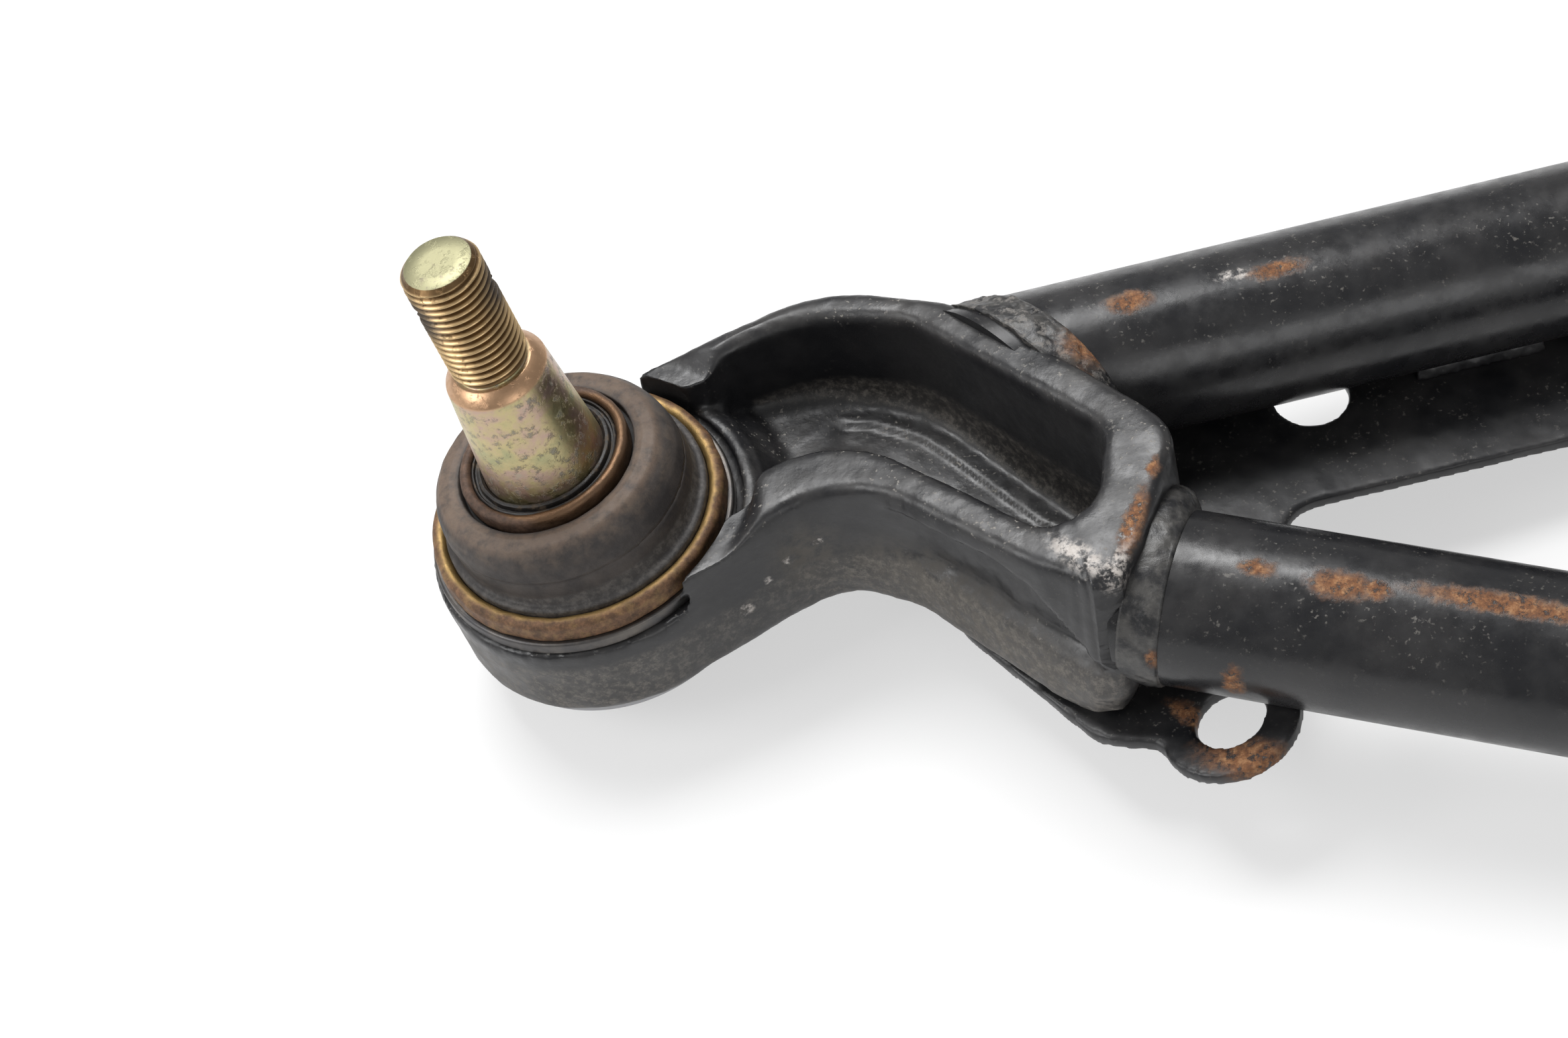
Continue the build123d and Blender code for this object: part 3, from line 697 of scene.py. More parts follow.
def fit_walls(points):
    """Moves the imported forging's sides, rims, floor and boss to where the photograph has them."""
    plan, height = points[:, :2].copy(), points[:, 2].copy()
    along = plan[:, 0]
    reach = np.hypot(plan[:, 0], plan[:, 1])
    packed_plan = with_start(PACKED_PLAN, PACKED_BOSS)
    packed_outer = rounded_path(packed_plan, PACKED_RADII)
    packed_channel = rounded_path(inset_path(packed_plan, PACKED_WALL), CHANNEL_RADII)
    outer = rounded_path(with_start(PLAN, BOSS_RADIUS), PLAN_RADII)
    channel = rounded_path(CHANNEL, CHANNEL_RADII)
    depth = beside(packed_outer, plan)
    inner = smoothstep(*OUTER_TO_INNER, depth)
    packed_floor = PACKED_FLOOR + RIM_RISE * along
    packed_rim = PACKED_RIM + RIM_RISE * along
    floor = FLOOR_HEIGHT - LEAN * along
    rim = RIM_HEIGHT + RIM_RISE * along
    # Heights: the outer sides stretch from the forging's bottom, the inner ones from the floor
    outer_share = (height - FORGING_BOTTOM) / (packed_rim - FORGING_BOTTOM)
    outer_height = FORGING_BOTTOM + outer_share * (rim - FORGING_BOTTOM)
    inner_share = (height - packed_floor) / (packed_rim - packed_floor)
    inner_height = floor + inner_share * (rim - floor)
    open_side = smoothstep(*OPEN_SIDE, height)
    inner_height = height + (inner_height - height) * open_side
    boss_height = np.interp(height, *BOSS_HEIGHTS)
    new_height = outer_height + (inner_height - outer_height) * inner
    past_lip = smoothstep(*PAST_LIP, reach)
    new_height = boss_height + (new_height - boss_height) * past_lip
    # Plan: the outer sides keep their depth, the channel's sides their draft, and the boss shrinks
    drift = LEAN * (new_height - PARTING) * smoothstep(*LEANING_END, along)
    outer_move = towards(outer, plan - np.column_stack((drift, drift * 0)), depth)
    behind = beside(packed_channel, plan) + CHANNEL_SLOPE * (height - packed_floor)
    inner_move = towards(channel, plan, behind - CHANNEL_SLOPE * (new_height - floor))
    inner_move *= (open_side * smoothstep(*FLOOR_FILLET, behind))[:, None]
    move = outer_move + (inner_move - outer_move) * inner[:, None]
    past_boss = past_lip * smoothstep(*BEHIND_BOSS, along)
    packed_radius = PACKED_BOSS - np.maximum(PARTING - height, 0) * PACKED_BOSS_SLOPE
    radius = BOSS_RADIUS - (BOSS_TOP - new_height) * BOSS_SLOPE
    shrink = (radius - packed_radius) * smoothstep(*BOSS_WALL, reach) * smoothstep(*BOSS_FRONT, along)
    boss_move = plan * (shrink / np.maximum(reach, 1))[:, None]
    plan += boss_move + (move - boss_move) * past_boss[:, None]
    return np.column_stack((plan, new_height))


def near_side_shift(plan, height, normals):
    """Moves in plan that hollow the near side under its shoulder and flare its lower band."""
    run = np.array(NEAR_CORNER) - np.array(NEAR_BEND)
    run /= np.linalg.norm(run)
    outward = np.array((run[1], -run[0]))
    along = (plan - NEAR_BEND) @ run
    proud = (plan - NEAR_BEND) @ outward
    near = smoothstep(0.35, 0.75, normals[:, :2] @ outward) * smoothstep(-5.5, -3.0, proud)
    near *= smoothstep(-3, 6, along) * smoothstep(56, 50, along)
    shoulder = np.interp(along, *SHOULDER)
    hollow = smoothstep(BAND_TOP - 0.9, BAND_TOP + 1.2, height)
    hollow *= smoothstep(shoulder + 0.5, shoulder - 1.1, height)
    flare = np.interp(height, *BAND_FLARE)
    wave = lumps(np.column_stack((along, along * 0, height)), 9.0, 3.1)
    depth = HOLLOW_DEPTH * smoothstep(*HOLLOW_START, along) - HOLLOW_LUMPS * wave
    return (near * (flare - depth * hollow))[:, None] * outward


def floor_shift(plan, height, normals):
    """Rises of the channel's floor: a step down, and a hump at the foot of the near wall."""
    over_floor = height - (FLOOR_HEIGHT - LEAN * plan[:, 0])
    inside = smoothstep(3.0, 1.2, over_floor) * smoothstep(-2.0, -0.8, over_floor)
    inside *= smoothstep(0.6, 0.9, normals[:, 2])
    low = smoothstep(-0.35, 0.35, beside(FLOOR_STEP, plan)) * smoothstep(34.0, 38.0, plan[:, 0])
    hump = np.exp(-(((plan - HUMP_PLACE) / HUMP_SIZE) ** 2).sum(axis=1))
    return inside * (HUMP * hump - STEP_DROP * low)


def sculpt_forging():
    mesh = remeshed("end_forging", 0.62, 3)
    points, normals = local_points(mesh, JOINT)
    points = fit_walls(points)
    height = points[:, 2].copy()
    points[:, :2] += near_side_shift(points[:, :2], height, normals)
    points[:, 2] += floor_shift(points[:, :2], height, normals)
    # Forged skin
    points += normals * (0.16 * lumps(points, 13.0, 1.7) + 0.055 * lumps(points, 2.6, 8.3))[:, None]
    put_points(mesh, JOINT, points)
    return mesh


# Weld beads round the tubes at the forging's walls

TUBE_RADIUS = 12.7
BEAD_SHIFT = 1.7
RIPPLE = 2.3
RIPPLE_SLANT = 0.35
# Rise over the wall, reach beyond the tube along and across the wall, and share of the shift
BEAD_PROFILE = (
    (-2.6, 2.1, 0.9, 1.0), (0.0, 2.1, 0.9, 1.0), (0.8, 2.0, 0.9, 0.9), (1.6, 1.7, 0.8, 0.7),
    (2.4, 1.1, 0.6, 0.4), (3.0, 0.5, 0.4, 0.1), (3.3, 0.05, 0.05, 0.0), (3.3, -0.6, -0.6, 0.0),
    (-2.6, -0.6, -0.6, 0.0),
)


def weld_bead(near_end, far_end, side, seed, rough):
    """Ripple-faced bead where a tube meets the wall between two corners of the forging's plan."""
    ends = [JOINT @ Vector((*corner, PARTING)) / MM for corner in (near_end, far_end)]
    run = ends[1] - ends[0]
    run.z = 0
    run.normalize()
    normal = Vector((-run.y, run.x, 0))
    direction = Vector((math.cos(TUBE_ANGLE), side * math.sin(TUBE_ANGLE), 0))
    if normal.dot(direction) < 0:
        normal = -normal
    slant = direction.dot(normal)
    apex = APEX / MM
    reach = (ends[0] - apex).dot(normal) / slant
    inward = run * BEAD_SHIFT * (1 if run.y * side < 0 else -1)
    rows = dense(BEAD_PROFILE, 0.45)
    steps = 300

    def place_ring(row, angle):
        rise, wide, tall, share = rows[row]
        centre = apex + direction * (reach + rise / slant) + inward * share
        offset = run * (TUBE_RADIUS / slant + wide) * math.cos(angle)
        offset += Vector((0, 0, TUBE_RADIUS + tall)) * math.sin(angle)
        place = centre + offset
        if wide > 0:
            ripples = angle * TUBE_RADIUS / RIPPLE + RIPPLE_SLANT * rise + 0.4 * noise.noise(place / 5)
            rib = math.sin(2 * math.pi * ripples)
            lump = noise.fractal(place / 3.2 + Vector((seed, 0, 0)), 0.7, 2.0, 3)
            body = min(1.0, wide) * (0.5 if rise < -0.2 else 1.0)
            place += offset.normalized() * body * rough * (0.07 * rib + 0.42 * lump)
            place += normal * body * rough * (0.06 * rib + 0.35 * lump)
        return place * MM

    return lathe("weld_bead", rows, place_ring, steps)


# Stud: taper, shoulder, real helical thread and the hole for its split pin

STUD_LENGTH = 69.1
SHOULDER_HEIGHT = 48.0
SHOULDER_CHAMFER = 1.75
TAPER_TOP = SHOULDER_HEIGHT - SHOULDER_CHAMFER
TAPER_BOTTOM = TAPER_TOP - 22.5
TAPER_SMALL = 15.5
TAPER_RATIO = 6.0
BALL_RADIUS = 12.5
NECK_WAIST = 7.3
THREAD_RADIUS = 6.0
THREAD_PITCH = 1.25
THREAD_DEPTH = 0.77
THREAD_START = SHOULDER_HEIGHT + 1.1
THREAD_FADE = 0.9
PIN_HOLE = 1.6
PIN_HOLE_INSET = 6.8
PIN_HOLE_TURN = math.radians(23)
PIN_HOLE_WAY = STUD_X * math.cos(PIN_HOLE_TURN) + STUD_Y * math.sin(PIN_HOLE_TURN)
PIN_HOLE_MIDDLE = BALL + STUD_Z * (STUD_LENGTH - PIN_HOLE_INSET) * MM
DRILL_LENGTH = 30
BALL_FLAT = 7.0


def taper_radius(height):
    return TAPER_SMALL / 2 + (TAPER_TOP - height) / TAPER_RATIO / 2


def stud_profile():
    """Radius and height from the ball's flat to the middle of the end face."""
    low = -math.acos(BALL_FLAT / BALL_RADIUS)
    high = math.acos(NECK_WAIST / BALL_RADIUS)
    rows = [(0.0, BALL_RADIUS * math.sin(low))]
    for step in range(25):
        angle = low + (high - low) * step / 24
        rows.append((BALL_RADIUS * math.cos(angle), BALL_RADIUS * math.sin(angle)))
    rows += [(NECK_WAIST, TAPER_BOTTOM - 3.8), (taper_radius(TAPER_BOTTOM), TAPER_BOTTOM)]
    for step in range(1, 19):
        height = TAPER_BOTTOM + (TAPER_TOP - 0.25 - TAPER_BOTTOM) * step / 18
        rows.append((taper_radius(height), height))
    rows += [
        (taper_radius(TAPER_TOP) - 0.10, TAPER_TOP + 0.10),
        (taper_radius(TAPER_TOP) - SHOULDER_CHAMFER + 0.1, SHOULDER_HEIGHT - 0.1),
        (taper_radius(TAPER_TOP) - SHOULDER_CHAMFER - 0.15, SHOULDER_HEIGHT),
        (THREAD_RADIUS - 0.55, SHOULDER_HEIGHT + 0.02),
        (THREAD_RADIUS - 0.75, SHOULDER_HEIGHT + 0.2),
    ]
    height = SHOULDER_HEIGHT + 0.4
    while height < STUD_LENGTH - 0.05:
        rows.append((THREAD_RADIUS, height))
        height += THREAD_PITCH / 12
    rows += [(THREAD_RADIUS - 1.0, STUD_LENGTH), (2.5, STUD_LENGTH), (0.0, STUD_LENGTH)]
    return rows


def thread_cut(height, angle):
    """Depth of the thread's groove below the crest at a height and angle."""
    turn = (height / THREAD_PITCH - angle / (2 * math.pi)) % 1.0
    ridge = abs(turn - 0.5) * 2
    flank = min(1.0, max(0.0, (ridge - 0.10) / 0.80))
    fade = min(1.0, max(0.0, (height - THREAD_START + THREAD_FADE) / THREAD_FADE))
    return THREAD_DEPTH * (1 - flank * fade)


def build_stud():
    rows = stud_profile()
    steps = 160

    def place_ring(row, angle):
        radius, height = rows[row]
        if SHOULDER_HEIGHT + 0.3 < height < STUD_LENGTH - 0.01:
            crest = min(THREAD_RADIUS, THREAD_RADIUS - 1.0 + (STUD_LENGTH - height) * 0.95)
            radius = min(crest, THREAD_RADIUS - thread_cut(height, angle))
        return STUD @ on_ring(radius, angle, height)

    mesh = lathe("ball_stud_finished", rows, place_ring, steps, closed=False)
    body = drafted(cleaned(mesh, merge_points, drop_slivers, face_outward))
    drill = bmesh.new()
    turn = PIN_HOLE_WAY.to_track_quat("Z", "Y").to_matrix().to_4x4()
    radius = PIN_HOLE * MM
    bmesh.ops.create_cone(drill, cap_ends=True, segments=40, radius1=radius, radius2=radius,
                          depth=DRILL_LENGTH * MM, matrix=Matrix.Translation(PIN_HOLE_MIDDLE) @ turn)
    drill_mesh = bpy.data.meshes.new("drill")
    drill.to_mesh(drill_mesh)
    drill.free()
    tool = drafted(drill_mesh)
    cut = body.modifiers.new("pin_hole", "BOOLEAN")
    cut.operation = "DIFFERENCE"
    cut.solver = "EXACT"
    cut.use_self = True
    cut.object = tool
    made = baked(body)
    bpy.data.objects.remove(tool)
    return made


# Boot: rings between the joint's frame and the stud's

BOOT_SHARES = ((12.0, 16.4, 17.6, 20.6, 23.6, 25.6), (0.0, 0.0, 0.1, 0.5, 0.8, 1.0))
BOOT_SPLIT = 20.6
BOOT_SKIN = 0.07
FLANGE_PITS = 0.55
FLANGE_INNER = 18.7
BOOT_SKIRT = (
    (17.56, 12.26, 0.1), (20.28, 12.26, 0.1), (20.28, 16.35, 0.6), (19.25, 16.5, 0.5), (18.95, 17.7, 1.5),
    (18.98, BOOT_SPLIT, 0), (17.1, BOOT_SPLIT, 0), (17.1, 17.6, 1.5), (17.56, 15.6, 0.5),
)
BOOT_CROWN = (
    (17.1, BOOT_SPLIT, 0), (18.98, BOOT_SPLIT, 0), (18.75, 22.6, 2.5), (18.1, 24.2, 2.5),
    (16.9, 25.55, 1.2), (15.2, 25.95, 0.8), (13.75, 25.7, 0.3), (13.6, 24.3, 0.2), (11.5, 24.3, 0.1),
    (11.5, 22.6, 0.1), (15.9, 22.5, 1.5),
)


def boot_frame(height):
    """The joint's frame at the boot's foot, the stud's at its mouth, and between them a share."""
    share = float(np.interp(height, *BOOT_SHARES))
    turn = JOINT.to_quaternion().slerp(STUD.to_quaternion(), share)
    return Matrix.Translation(BALL) @ turn.to_matrix().to_4x4() @ Matrix.Scale(MM, 4)


def boot_piece(name, profile):
    """Half of the boot with an uneven skin and small pits in its flange."""
    rows = dense(rounded(profile), 0.55)
    steps = 220

    def place_ring(row, angle):
        radius, height = rows[row]
        local = on_ring(radius, angle, height)
        pit = min(0.0, noise.fractal(local / 1.6, 0.8, 2.0, 2) + 0.42) * FLANGE_PITS
        radius += BOOT_SKIN * noise.fractal(local / 5, 0.8, 2.0, 3)
        height += BOOT_SKIN * noise.fractal(local / 5 + Vector((9, 4, 2)), 0.8, 2.0, 3)
        if height < BOOT_SPLIT and radius > FLANGE_INNER:
            height += pit
        return boot_frame(height) @ on_ring(radius, angle, height)

    return lathe(name, rows, place_ring, steps)


def build_boot(material):
    """Two halves shaped from the joint's frame to the stud's: the skirt with its foot, the crown with its
    mouth.
    """
    skirt, crown = [
        new_piece(name, boot_piece(name, profile), None, material, "boot_rubber", "boot")
        for name, profile in (("boot_skirt", BOOT_SKIRT), ("boot_crown", BOOT_CROWN))
    ]
    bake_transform(skirt)
    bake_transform(crown)


# Materials of the finished pieces: heights and radii in mm from the ball's centre

def height_over(mat, direction):
    """Height along a direction, for each place on the surface."""
    return mat.times(mat.dot(mat.vector_math("SUBTRACT", mat.place, BALL), direction), 1 / MM)


def radius_about(mat, height):
    """Distance from the axis along which the height was taken."""
    off = mat.vector_math("SUBTRACT", mat.place, BALL)
    reach = mat.times(mat.vector_math("LENGTH", off, output="Value"), 1 / MM)
    squares = mat.math("SUBTRACT", mat.math("POWER", reach, 2.0), mat.math("POWER", height, 2.0))
    return mat.math("POWER", mat.math("MAXIMUM", squares, 0.0), 0.5)


ZINC_TINTS = ((0.30, (0.40, 0.39, 0.22)), (0.44, (0.52, 0.44, 0.24)), (0.56, (0.50, 0.36, 0.29)),
              (0.68, (0.42, 0.41, 0.31)))
ZINC_SCUFFED = (0.27, 0.26, 0.24)
ZINC_COPPER = (0.56, 0.35, 0.21)
# Thread colours: painted shade in the roots, painted gold highlight on the crests
THREAD_ROOT_SHADE_AND_CREST_HIGHLIGHT = ((0.17, 0.105, 0.05), (0.66, 0.47, 0.25))
STUD_END_COLOURS = ((0.36, 0.345, 0.215), (0.26, 0.23, 0.17))
GREASE = (0.035, 0.022, 0.014)
GREASE_SMEARED = (0.030, 0.022, 0.018)
SMEAR_REACH = 4.6


def stud_zinc():
    """Yellow zinc with green and pink tints, scuffed to grey, a copper shoulder, painted shade in the
    thread's roots and a painted gold highlight on its crests.
    """
    mat = Nodes("stud_zinc")
    height = height_over(mat, STUD_Z)
    radius = radius_about(mat, height)
    scuff = mat.cloud(1.6, 6, 0.75, 0.52, 0.66)
    colour = mat.mix(mat.times(scuff, 0.75), mat.ramp(mat.noise(6, 4, 0.6), *ZINC_TINTS), ZINC_SCUFFED)
    chamfer = mat.times(mat.step(height, TAPER_TOP - 0.5, TAPER_TOP + 0.1),
                        mat.step(height, SHOULDER_HEIGHT + 0.1, SHOULDER_HEIGHT - 0.1))
    colour = mat.mix(chamfer, colour, ZINC_COPPER)
    # Thread: painted shade in the roots and a painted highlight on the crests, by radius
    thread = mat.step(height, SHOULDER_HEIGHT + 0.2, SHOULDER_HEIGHT + 0.6)
    crest = mat.step(radius, THREAD_RADIUS - 0.45, THREAD_RADIUS - 0.12)
    colour = mat.mix(thread, colour, mat.mix(crest, *THREAD_ROOT_SHADE_AND_CREST_HIGHLIGHT))
    end = mat.step(height, STUD_LENGTH - 0.12, STUD_LENGTH - 0.02)
    end_stain = mat.cloud(2.5, 5, 0.7, 0.55, 0.7)
    colour = mat.mix(end, colour, mat.mix(end_stain, *STUD_END_COLOURS))
    grease = mat.times(mat.step(height, TAPER_BOTTOM + 5.0, TAPER_BOTTOM + 1.0),
                       mat.cloud(3, 5, 0.7, 0.40, 0.60))
    colour = mat.mix(mat.times(grease, 0.85), colour, GREASE)
    mouths = [(tuple((PIN_HOLE_MIDDLE + PIN_HOLE_WAY * side * THREAD_RADIUS * MM) / MM), tuple(STUD_Z),
               (SMEAR_REACH, SMEAR_REACH, SMEAR_REACH)) for side in (1, -1)]
    smeared = mat.times(mat.patches(mouths, mat.warped(2.0, 2.0), 0.5), 0.92)
    colour = mat.mix(smeared, colour, GREASE_SMEARED)
    grease = mat.math("MAXIMUM", grease, smeared)
    roughness = mat.blend(mat.noise(0.8, 5, 0.7), 0.26, 0.50)
    roughness = mat.blend(end, roughness, 0.55)
    roughness = mat.blend(scuff, roughness, 0.5)
    mat.bump((mat.noise(0.5, 4, 0.7), 0.02), (scuff, 0.03))
    metal = mat.math("SUBTRACT", 1.0, mat.times(grease, 0.9))
    return mat.finish(Base_Color=colour, Metallic=metal, Roughness=roughness)


RUBBER = ((0.024, 0.020, 0.019), (0.050, 0.041, 0.036))
CREST_DUST_AND_HIGHLIGHT = (0.135, 0.092, 0.066)
SHOULDER_DUST = (0.16, 0.115, 0.08)
FLANGE_GREYS = ((0.040, 0.037, 0.036), (0.095, 0.087, 0.080))
# Painted shade inside the boot's mouth
GROOVE_SHADE = (0.010, 0.008, 0.007)
LIP_BLACK = (0.014, 0.012, 0.011)
LIP_DUST = (0.17, 0.12, 0.075)


def boot_rubber():
    """Grey-brown rubber with dust on its shoulder and flange, dust and a painted highlight on its crest,
    and painted shade inside its mouth.
    """
    mat = Nodes("boot_rubber")
    height = height_over(mat, STUD_Z)
    radius = radius_about(mat, height)
    colour = mat.mix(mat.cloud(5, 5, 0.65, 0.35, 0.65), *RUBBER)
    # Crest next to the mouth: brown dust with a painted highlight
    crest = mat.times(mat.step(height, 24.2, 25.5), mat.step(radius, 13.8, 14.6))
    dusty = mat.times(crest, mat.cloud(2.2, 5, 0.7, 0.25, 0.6))
    colour = mat.mix(mat.times(dusty, 0.75), colour, CREST_DUST_AND_HIGHLIGHT)
    shoulder = mat.times(mat.step(height, 21.8, 24.0), mat.cloud(3, 5, 0.7, 0.4, 0.65))
    colour = mat.mix(mat.times(shoulder, 0.30), colour, SHOULDER_DUST)
    flange = mat.times(mat.step(height, 17.6, 16.9), mat.step(radius, 18.6, 19.2))
    grey = mat.mix(mat.cloud(1.5, 6, 0.75, 0.42, 0.62), *FLANGE_GREYS)
    colour = mat.mix(mat.times(flange, 0.85), colour, grey)
    # Painted shade inside the mouth, within the groove's radius
    colour = mat.mix(mat.step(radius, 13.9, 13.4), colour, GROOVE_SHADE)
    roughness = mat.blend(mat.noise(1.2, 4), 0.50, 0.78)
    mat.bump((mat.noise(0.7, 4, 0.65), 0.06), (mat.noise(2.5, 4, 0.6), 0.10))
    return mat.finish(Base_Color=colour, Roughness=roughness)


def lip_rubber():
    """Black seal rubber with brown dust."""
    mat = Nodes("lip_rubber")
    dust = mat.cloud(1.8, 6, 0.75, 0.50, 0.70)
    colour = mat.mix(mat.times(dust, 0.5), LIP_BLACK, LIP_DUST)
    mat.bump((mat.noise(0.6, 4, 0.7), 0.06))
    return mat.finish(Base_Color=colour, Roughness=mat.blend(dust, 0.45, 0.85))


def rusty_ring(name, bottom, top, inner, outer, gold, rust):
    """Zinc ring whose inner upper edge is still yellow while its outside has rusted brown."""
    mat = Nodes(name)
    height = height_over(mat, JOINT_Z)
    radius = radius_about(mat, height)
    share = mat.times(mat.step(radius, outer - 0.5, inner + 0.3), mat.step(height, bottom, top - 0.3))
    mottle = mat.times(mat.math("SUBTRACT", mat.noise(2.4, 5, 0.7), 0.5), 1.6)
    share = mat.math("ADD", share, mottle, True)
    worn = mat.ramp(mat.noise(1.5, 6, 0.75), (0.30, tuple(0.35 * value for value in rust)), (0.5, rust),
                    (0.72, tuple(min(1, 2.0 * value) for value in rust)))
    mat.bump((mat.noise(0.8, 5, 0.75), 0.09), (mat.noise(3, 3), 0.08))
    return mat.finish(Base_Color=mat.mix(share, worn, gold), Metallic=mat.blend(share, 0.25, 0.9),
                      Roughness=mat.blend(share, 0.62, 0.42))


WELD_GREY = (0.055, 0.053, 0.050)
WELD_METAL = (0.20, 0.185, 0.17)


def weld_paint(name, rust, amount):
    """Paint over a weld bead, flaked off to grey metal by that amount, and rusty in places."""
    mat = Nodes(name)
    ragged = mat.warped(1.8, 2.4)
    colour = mat.mix(mat.cloud(3, 4, 0.55, 0.35, 0.65), BLACK, WELD_GREY)
    flake = mat.times(mat.cloud(1.3, 6, 0.75, 0.50, 0.62), amount)
    colour = mat.mix(flake, colour, WELD_METAL)
    eaten = mat.times(mat.patches(rust, ragged, 0.6), mat.cloud(1.0, 6, 0.75, 0.34, 0.50))
    colour = mat.mix(eaten, colour, rust_colour(mat, 0.9))
    roughness = mat.blend(mat.math("MAXIMUM", flake, eaten), mat.blend(mat.noise(2, 3), 0.34, 0.46), 0.8)
    mat.bump((mat.noise(0.9, 4, 0.65), 0.09), (mat.times(eaten, mat.noise(0.5, 4, 0.8)), 0.12))
    return mat.finish(Base_Color=colour, Roughness=roughness)


# Directions of patches on the paint. Each patch is (centre, direction, half sizes) in mm
FRONT_WAY = (math.cos(TUBE_ANGLE), -math.sin(TUBE_ANGLE), 0)
REAR_WAY = (math.cos(TUBE_ANGLE), math.sin(TUBE_ANGLE), 0)
END_WAY = (-0.28, -0.96, 0.0)
NEAR_WAY = (0.75, -0.66, 0.0)
PLATE_WAY = (0.9, -0.42, 0.1)

paint_forging = black_paint(
    "forging_paint", rough=0.36, dust=0.75, grain=0.06, band=True,
    rust=[
        ((-213.8, 56.0, 15.0), END_WAY, (5.0, 1.3, 3.0)),
        ((-211.0, 64.5, 15.0), END_WAY, (1.8, 0.8, 3.0)),
        ((-217.2, 40.4, 7.9), NEAR_WAY, (3.6, 0.8, 1.2)),
        ((-204.5, 46.0, -2.0), UP, (4.0, 1.2, 1.6)),
    ],
    scuffs=[
        ((-221.5, 51.0, 14.0), NEAR_WAY, (5.5, 1.7, 3.0)),
        ((-216.6, 48.4, 14.0), END_WAY, (3.4, 1.6, 3.0)),
        ((-214.8, 52.4, 15.0), END_WAY, (2.4, 0.7, 3.0)),
        ((-214.3, 38.4, 4.1), UP, (1.0, 0.7, 0.7)),
        ((-260.4, 68.6, -4.3), NEAR_WAY, (6.5, 0.5, 0.5)),
        ((-271.8, 62.5, -11.8), NEAR_WAY, (1.6, 1.0, 1.0)),
        ((-264.5, 66.2, -6.2), NEAR_WAY, (3.0, 0.6, 0.6)),
        ((-268.0, 64.6, -8.2), NEAR_WAY, (2.2, 0.6, 0.6)),
    ],
    film=[
        ((-240.0, 60.0, -9.0), NEAR_WAY, (24.0, 5.0, 5.0)),
        ((-262.0, 67.0, -6.0), NEAR_WAY, (12.0, 4.0, 5.0)),
    ],
)
paint_front = black_paint(
    "front_tube_paint", rough=0.27, dust=0.35, grain=0.02,
    rust=[
        ((-185.5, 45.4, 12.4), FRONT_WAY, (4.2, 2.0, 1.6)),
        ((-197.0, 48.8, 12.7), FRONT_WAY, (2.2, 1.4, 1.2)),
        ((-181.0, 44.4, 12.6), FRONT_WAY, (2.0, 1.2, 1.2)),
        ((-163.0, 41.0, 12.7), FRONT_WAY, (12.0, 1.6, 1.5)),
        ((-201.0, 38.5, 0.0), UP, (3.0, 1.0, 1.4)),
    ],
    scuffs=[((-193.0, 55.5, 10.2), FRONT_WAY, (9.0, 0.25, 0.5))],
)
paint_rear = black_paint(
    "rear_tube_paint", rough=0.27, dust=0.35, grain=0.02,
    rust=[
        ((-214.1, 98.2, 12.7), REAR_WAY, (3.0, 1.6, 1.2)),
        ((-192.5, 103.3, 12.7), REAR_WAY, (3.5, 1.4, 1.2)),
    ],
    scuffs=[((-198.8, 102.4, 12.7), REAR_WAY, (2.4, 0.9, 0.8))],
)
paint_plate = black_paint(
    "plate_paint", rough=0.40, dust=0.35, grain=0.03,
    rust=[
        ((-198.0, 31.6, -9.6), PLATE_WAY, (9.5, 3.0, 3.0)),
        ((-207.1, 42.1, -13.0), NEAR_WAY, (4.0, 1.4, 1.6)),
    ],
)
paint_pivot = black_paint("pivot_paint", rough=0.36, dust=0.3)
weld_front = weld_paint("front_weld_paint", [((-212.0, 41.5, 2.0), UP, (1.6, 0.8, 0.8))], 0.12)
weld_rear = weld_paint(
    "rear_weld_paint",
    [((-219.5, 91.5, 11.2), REAR_WAY, (4.5, 3.0, 3.0)), ((-222.0, 86.0, 8.0), UP, (3.0, 2.0, 2.0))],
    0.7,
)
steel = machined_steel("housing_steel", (0.085, 0.083, 0.085), 0.42, (0.16, 0.145, 0.13))
spring = machined_steel("spring_steel", (0.35, 0.35, 0.36), 0.35)
sleeve = machined_steel("sleeve_steel", (0.60, 0.60, 0.60), 0.35, (0.50, 0.49, 0.47))
race = moulded_plastic("bearing_plastic", (0.75, 0.73, 0.66))
bush = moulded_plastic("bushing_plastic", (0.70, 0.68, 0.60))
cap = moulded_plastic("cap_plastic", (0.03, 0.03, 0.03))
lower_ring = rusty_ring("retaining_ring_zinc", 12.2, 15.8, 20.32, 22.62, (0.42, 0.28, 0.11),
                        (0.115, 0.060, 0.030))
upper_ring = rusty_ring("upper_ring_zinc", 24.3, 27.5, 11.4, 13.1, (0.16, 0.095, 0.055),
                        (0.070, 0.040, 0.026))

# Materials of CAD nodes by a part of their names
MATERIALS = {
    "front_tube": paint_front,
    "rear_tube": paint_rear,
    "bottom_cap": steel,
    "circlip": spring,
    "preload_spring": spring,
    "bearing_race": race,
    "collar": sleeve,
    "bushing": bush,
    "dust_cap": cap,
}
for name, node in frame["nodes"].items():
    node.data.materials.clear()
    node.data.materials.append(next((MATERIALS[part] for part in MATERIALS if part in name), paint_pivot))

# Finished pieces in place of CAD nodes, with (radius, height, rounding) profiles of the turned ones

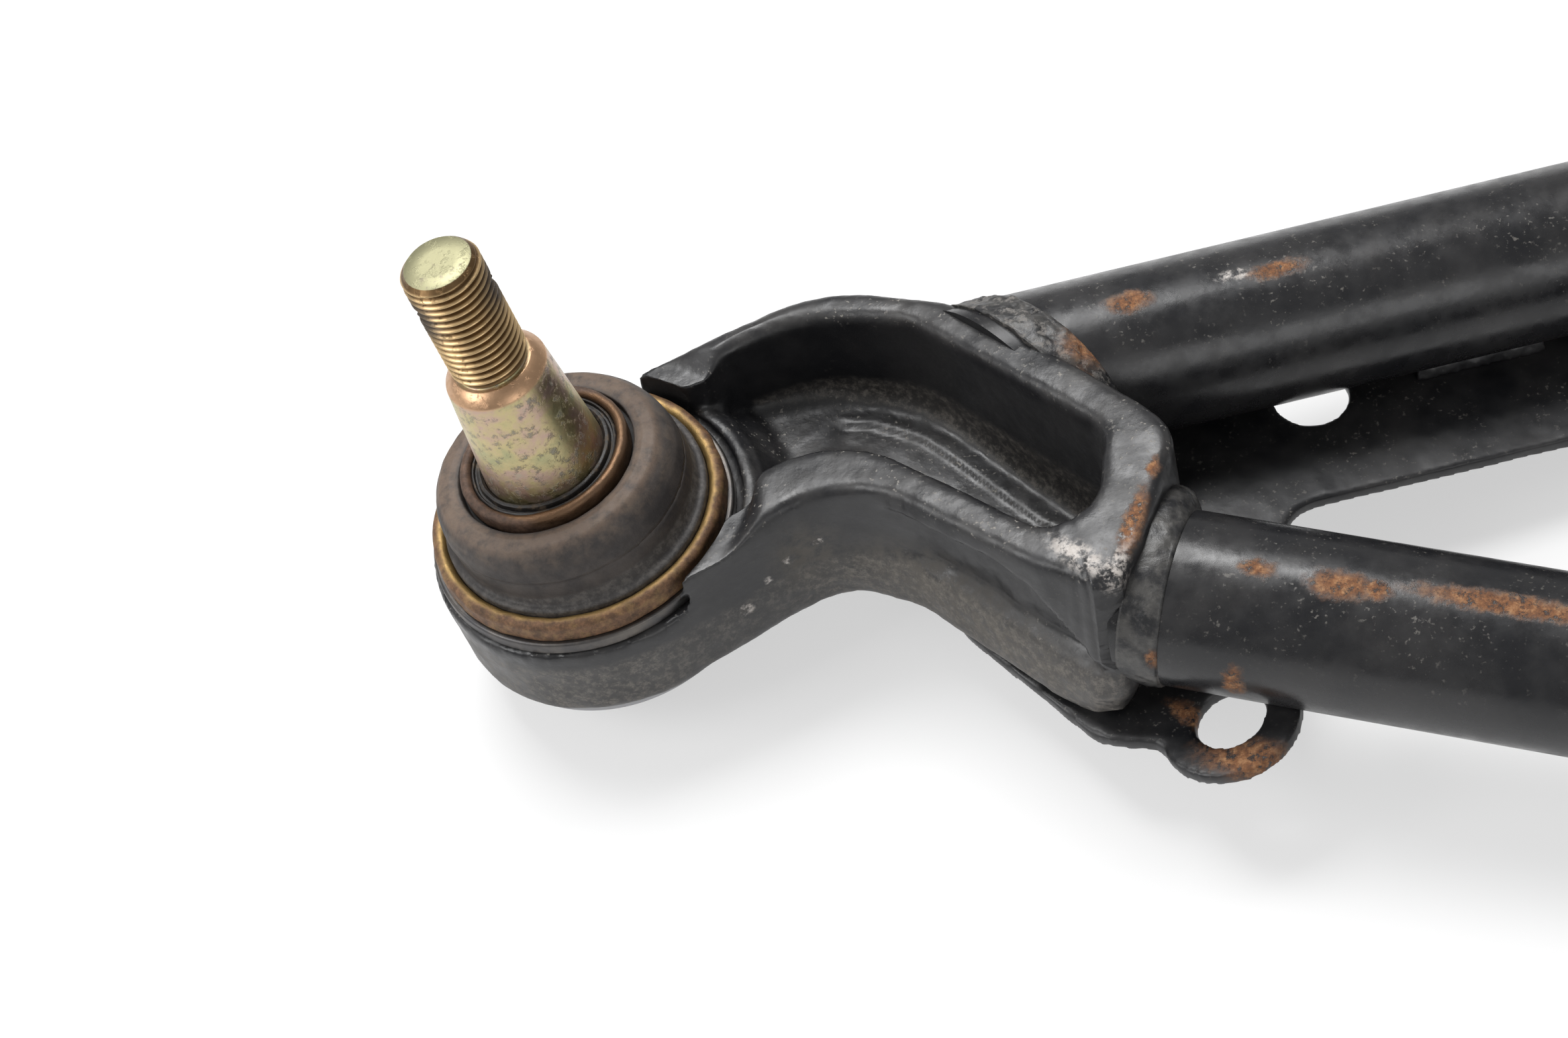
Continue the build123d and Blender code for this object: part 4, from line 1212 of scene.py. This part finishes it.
HOUSING = (
    (13.5, -15.1, 0.2), (15.2, -15.1, 0.8), (20.5, -8.6, 0.8), (20.5, -7.14, 0), (19.1, -7.14, 0),
    (19.1, -5.5, 0), (20.5, -5.5, 0), (20.5, 10.02, 0), (23.4, 10.02, 0.4), (23.4, 12.2, 0.5),
    (17.5, 12.2, 0.2), (17.5, 14.2, 0.3), (15.5, 14.2, 0.3), (12.74, 8.5, 0), (14.5, 8.5, 0),
    (14.5, -14.4, 0), (13.5, -14.4, 0.2),
)
RETAINING_RING = ((20.34, 12.22, 0.1), (22.62, 12.22, 0.3), (22.62, 15.8, 1.12), (20.34, 15.8, 1.1))
UPPER_RING = ((11.42, 24.34, 0.1), (13.1, 24.34, 0.3), (13.1, 27.5, 0.82), (11.42, 27.5, 0.8))
DUST_SEAL = (
    (9.64, 24.4, 0.1), (11.36, 24.4, 0.1), (11.36, 26.7, 0.15), (10.95, 27.0, 0.15), (10.85, 26.3, 0.1),
    (10.45, 26.3, 0.1), (10.35, 27.2, 0.2), (9.85, 27.35, 0.2), (9.45, 26.9, 0.15),
)

for name, mesh, material, node in (
    ("forging", sculpt_forging(), paint_forging, "end_forging"),
    ("front_weld", weld_bead(PLAN[3], PLAN[4], -1, 2.0, 0.35), weld_front, "front_forging_weld"),
    ("rear_weld", weld_bead(PLAN[2], PLAN[3], 1, 7.0, 1.0), weld_rear, "rear_forging_weld"),
    ("plate", sculpt("guard_plate", 0.55, 0.12, 9.0, 4.0), paint_plate, "guard_plate"),
    ("plate_beads", sculpt("plate_weld_beads", 0.4, 0.22, 2.2, 6.0), paint_plate,
     "plate_weld_beads"),
):
    new_piece(name, mesh, "arm", material, "black_paint", node)
turned_piece("housing", HOUSING, JOINT, "arm", steel, "phosphated_steel", "ball_joint_housing",
             wobble=0.03, size=6.0, steps=180, gap=1.2)
turned_piece("retaining_ring", RETAINING_RING, JOINT, "arm", lower_ring, "ring_steel",
             "boot_retaining_ring", wobble=0.14, size=5.0, steps=240, gap=0.4)
turned_piece("upper_ring", UPPER_RING, STUD, "boot_top", upper_ring, "ring_steel", "boot_upper_ring",
             wobble=0.10, size=3.5, steps=200, gap=0.35)
turned_piece("dust_seal", DUST_SEAL, STUD, "boot_top", lip_rubber(), "boot_rubber", "dust_lip",
             wobble=0.06, size=2.5, steps=160, gap=0.35)
new_piece("stud", build_stud(), "stud", stud_zinc(), "zinc_steel", "ball_stud")
build_boot(boot_rubber())
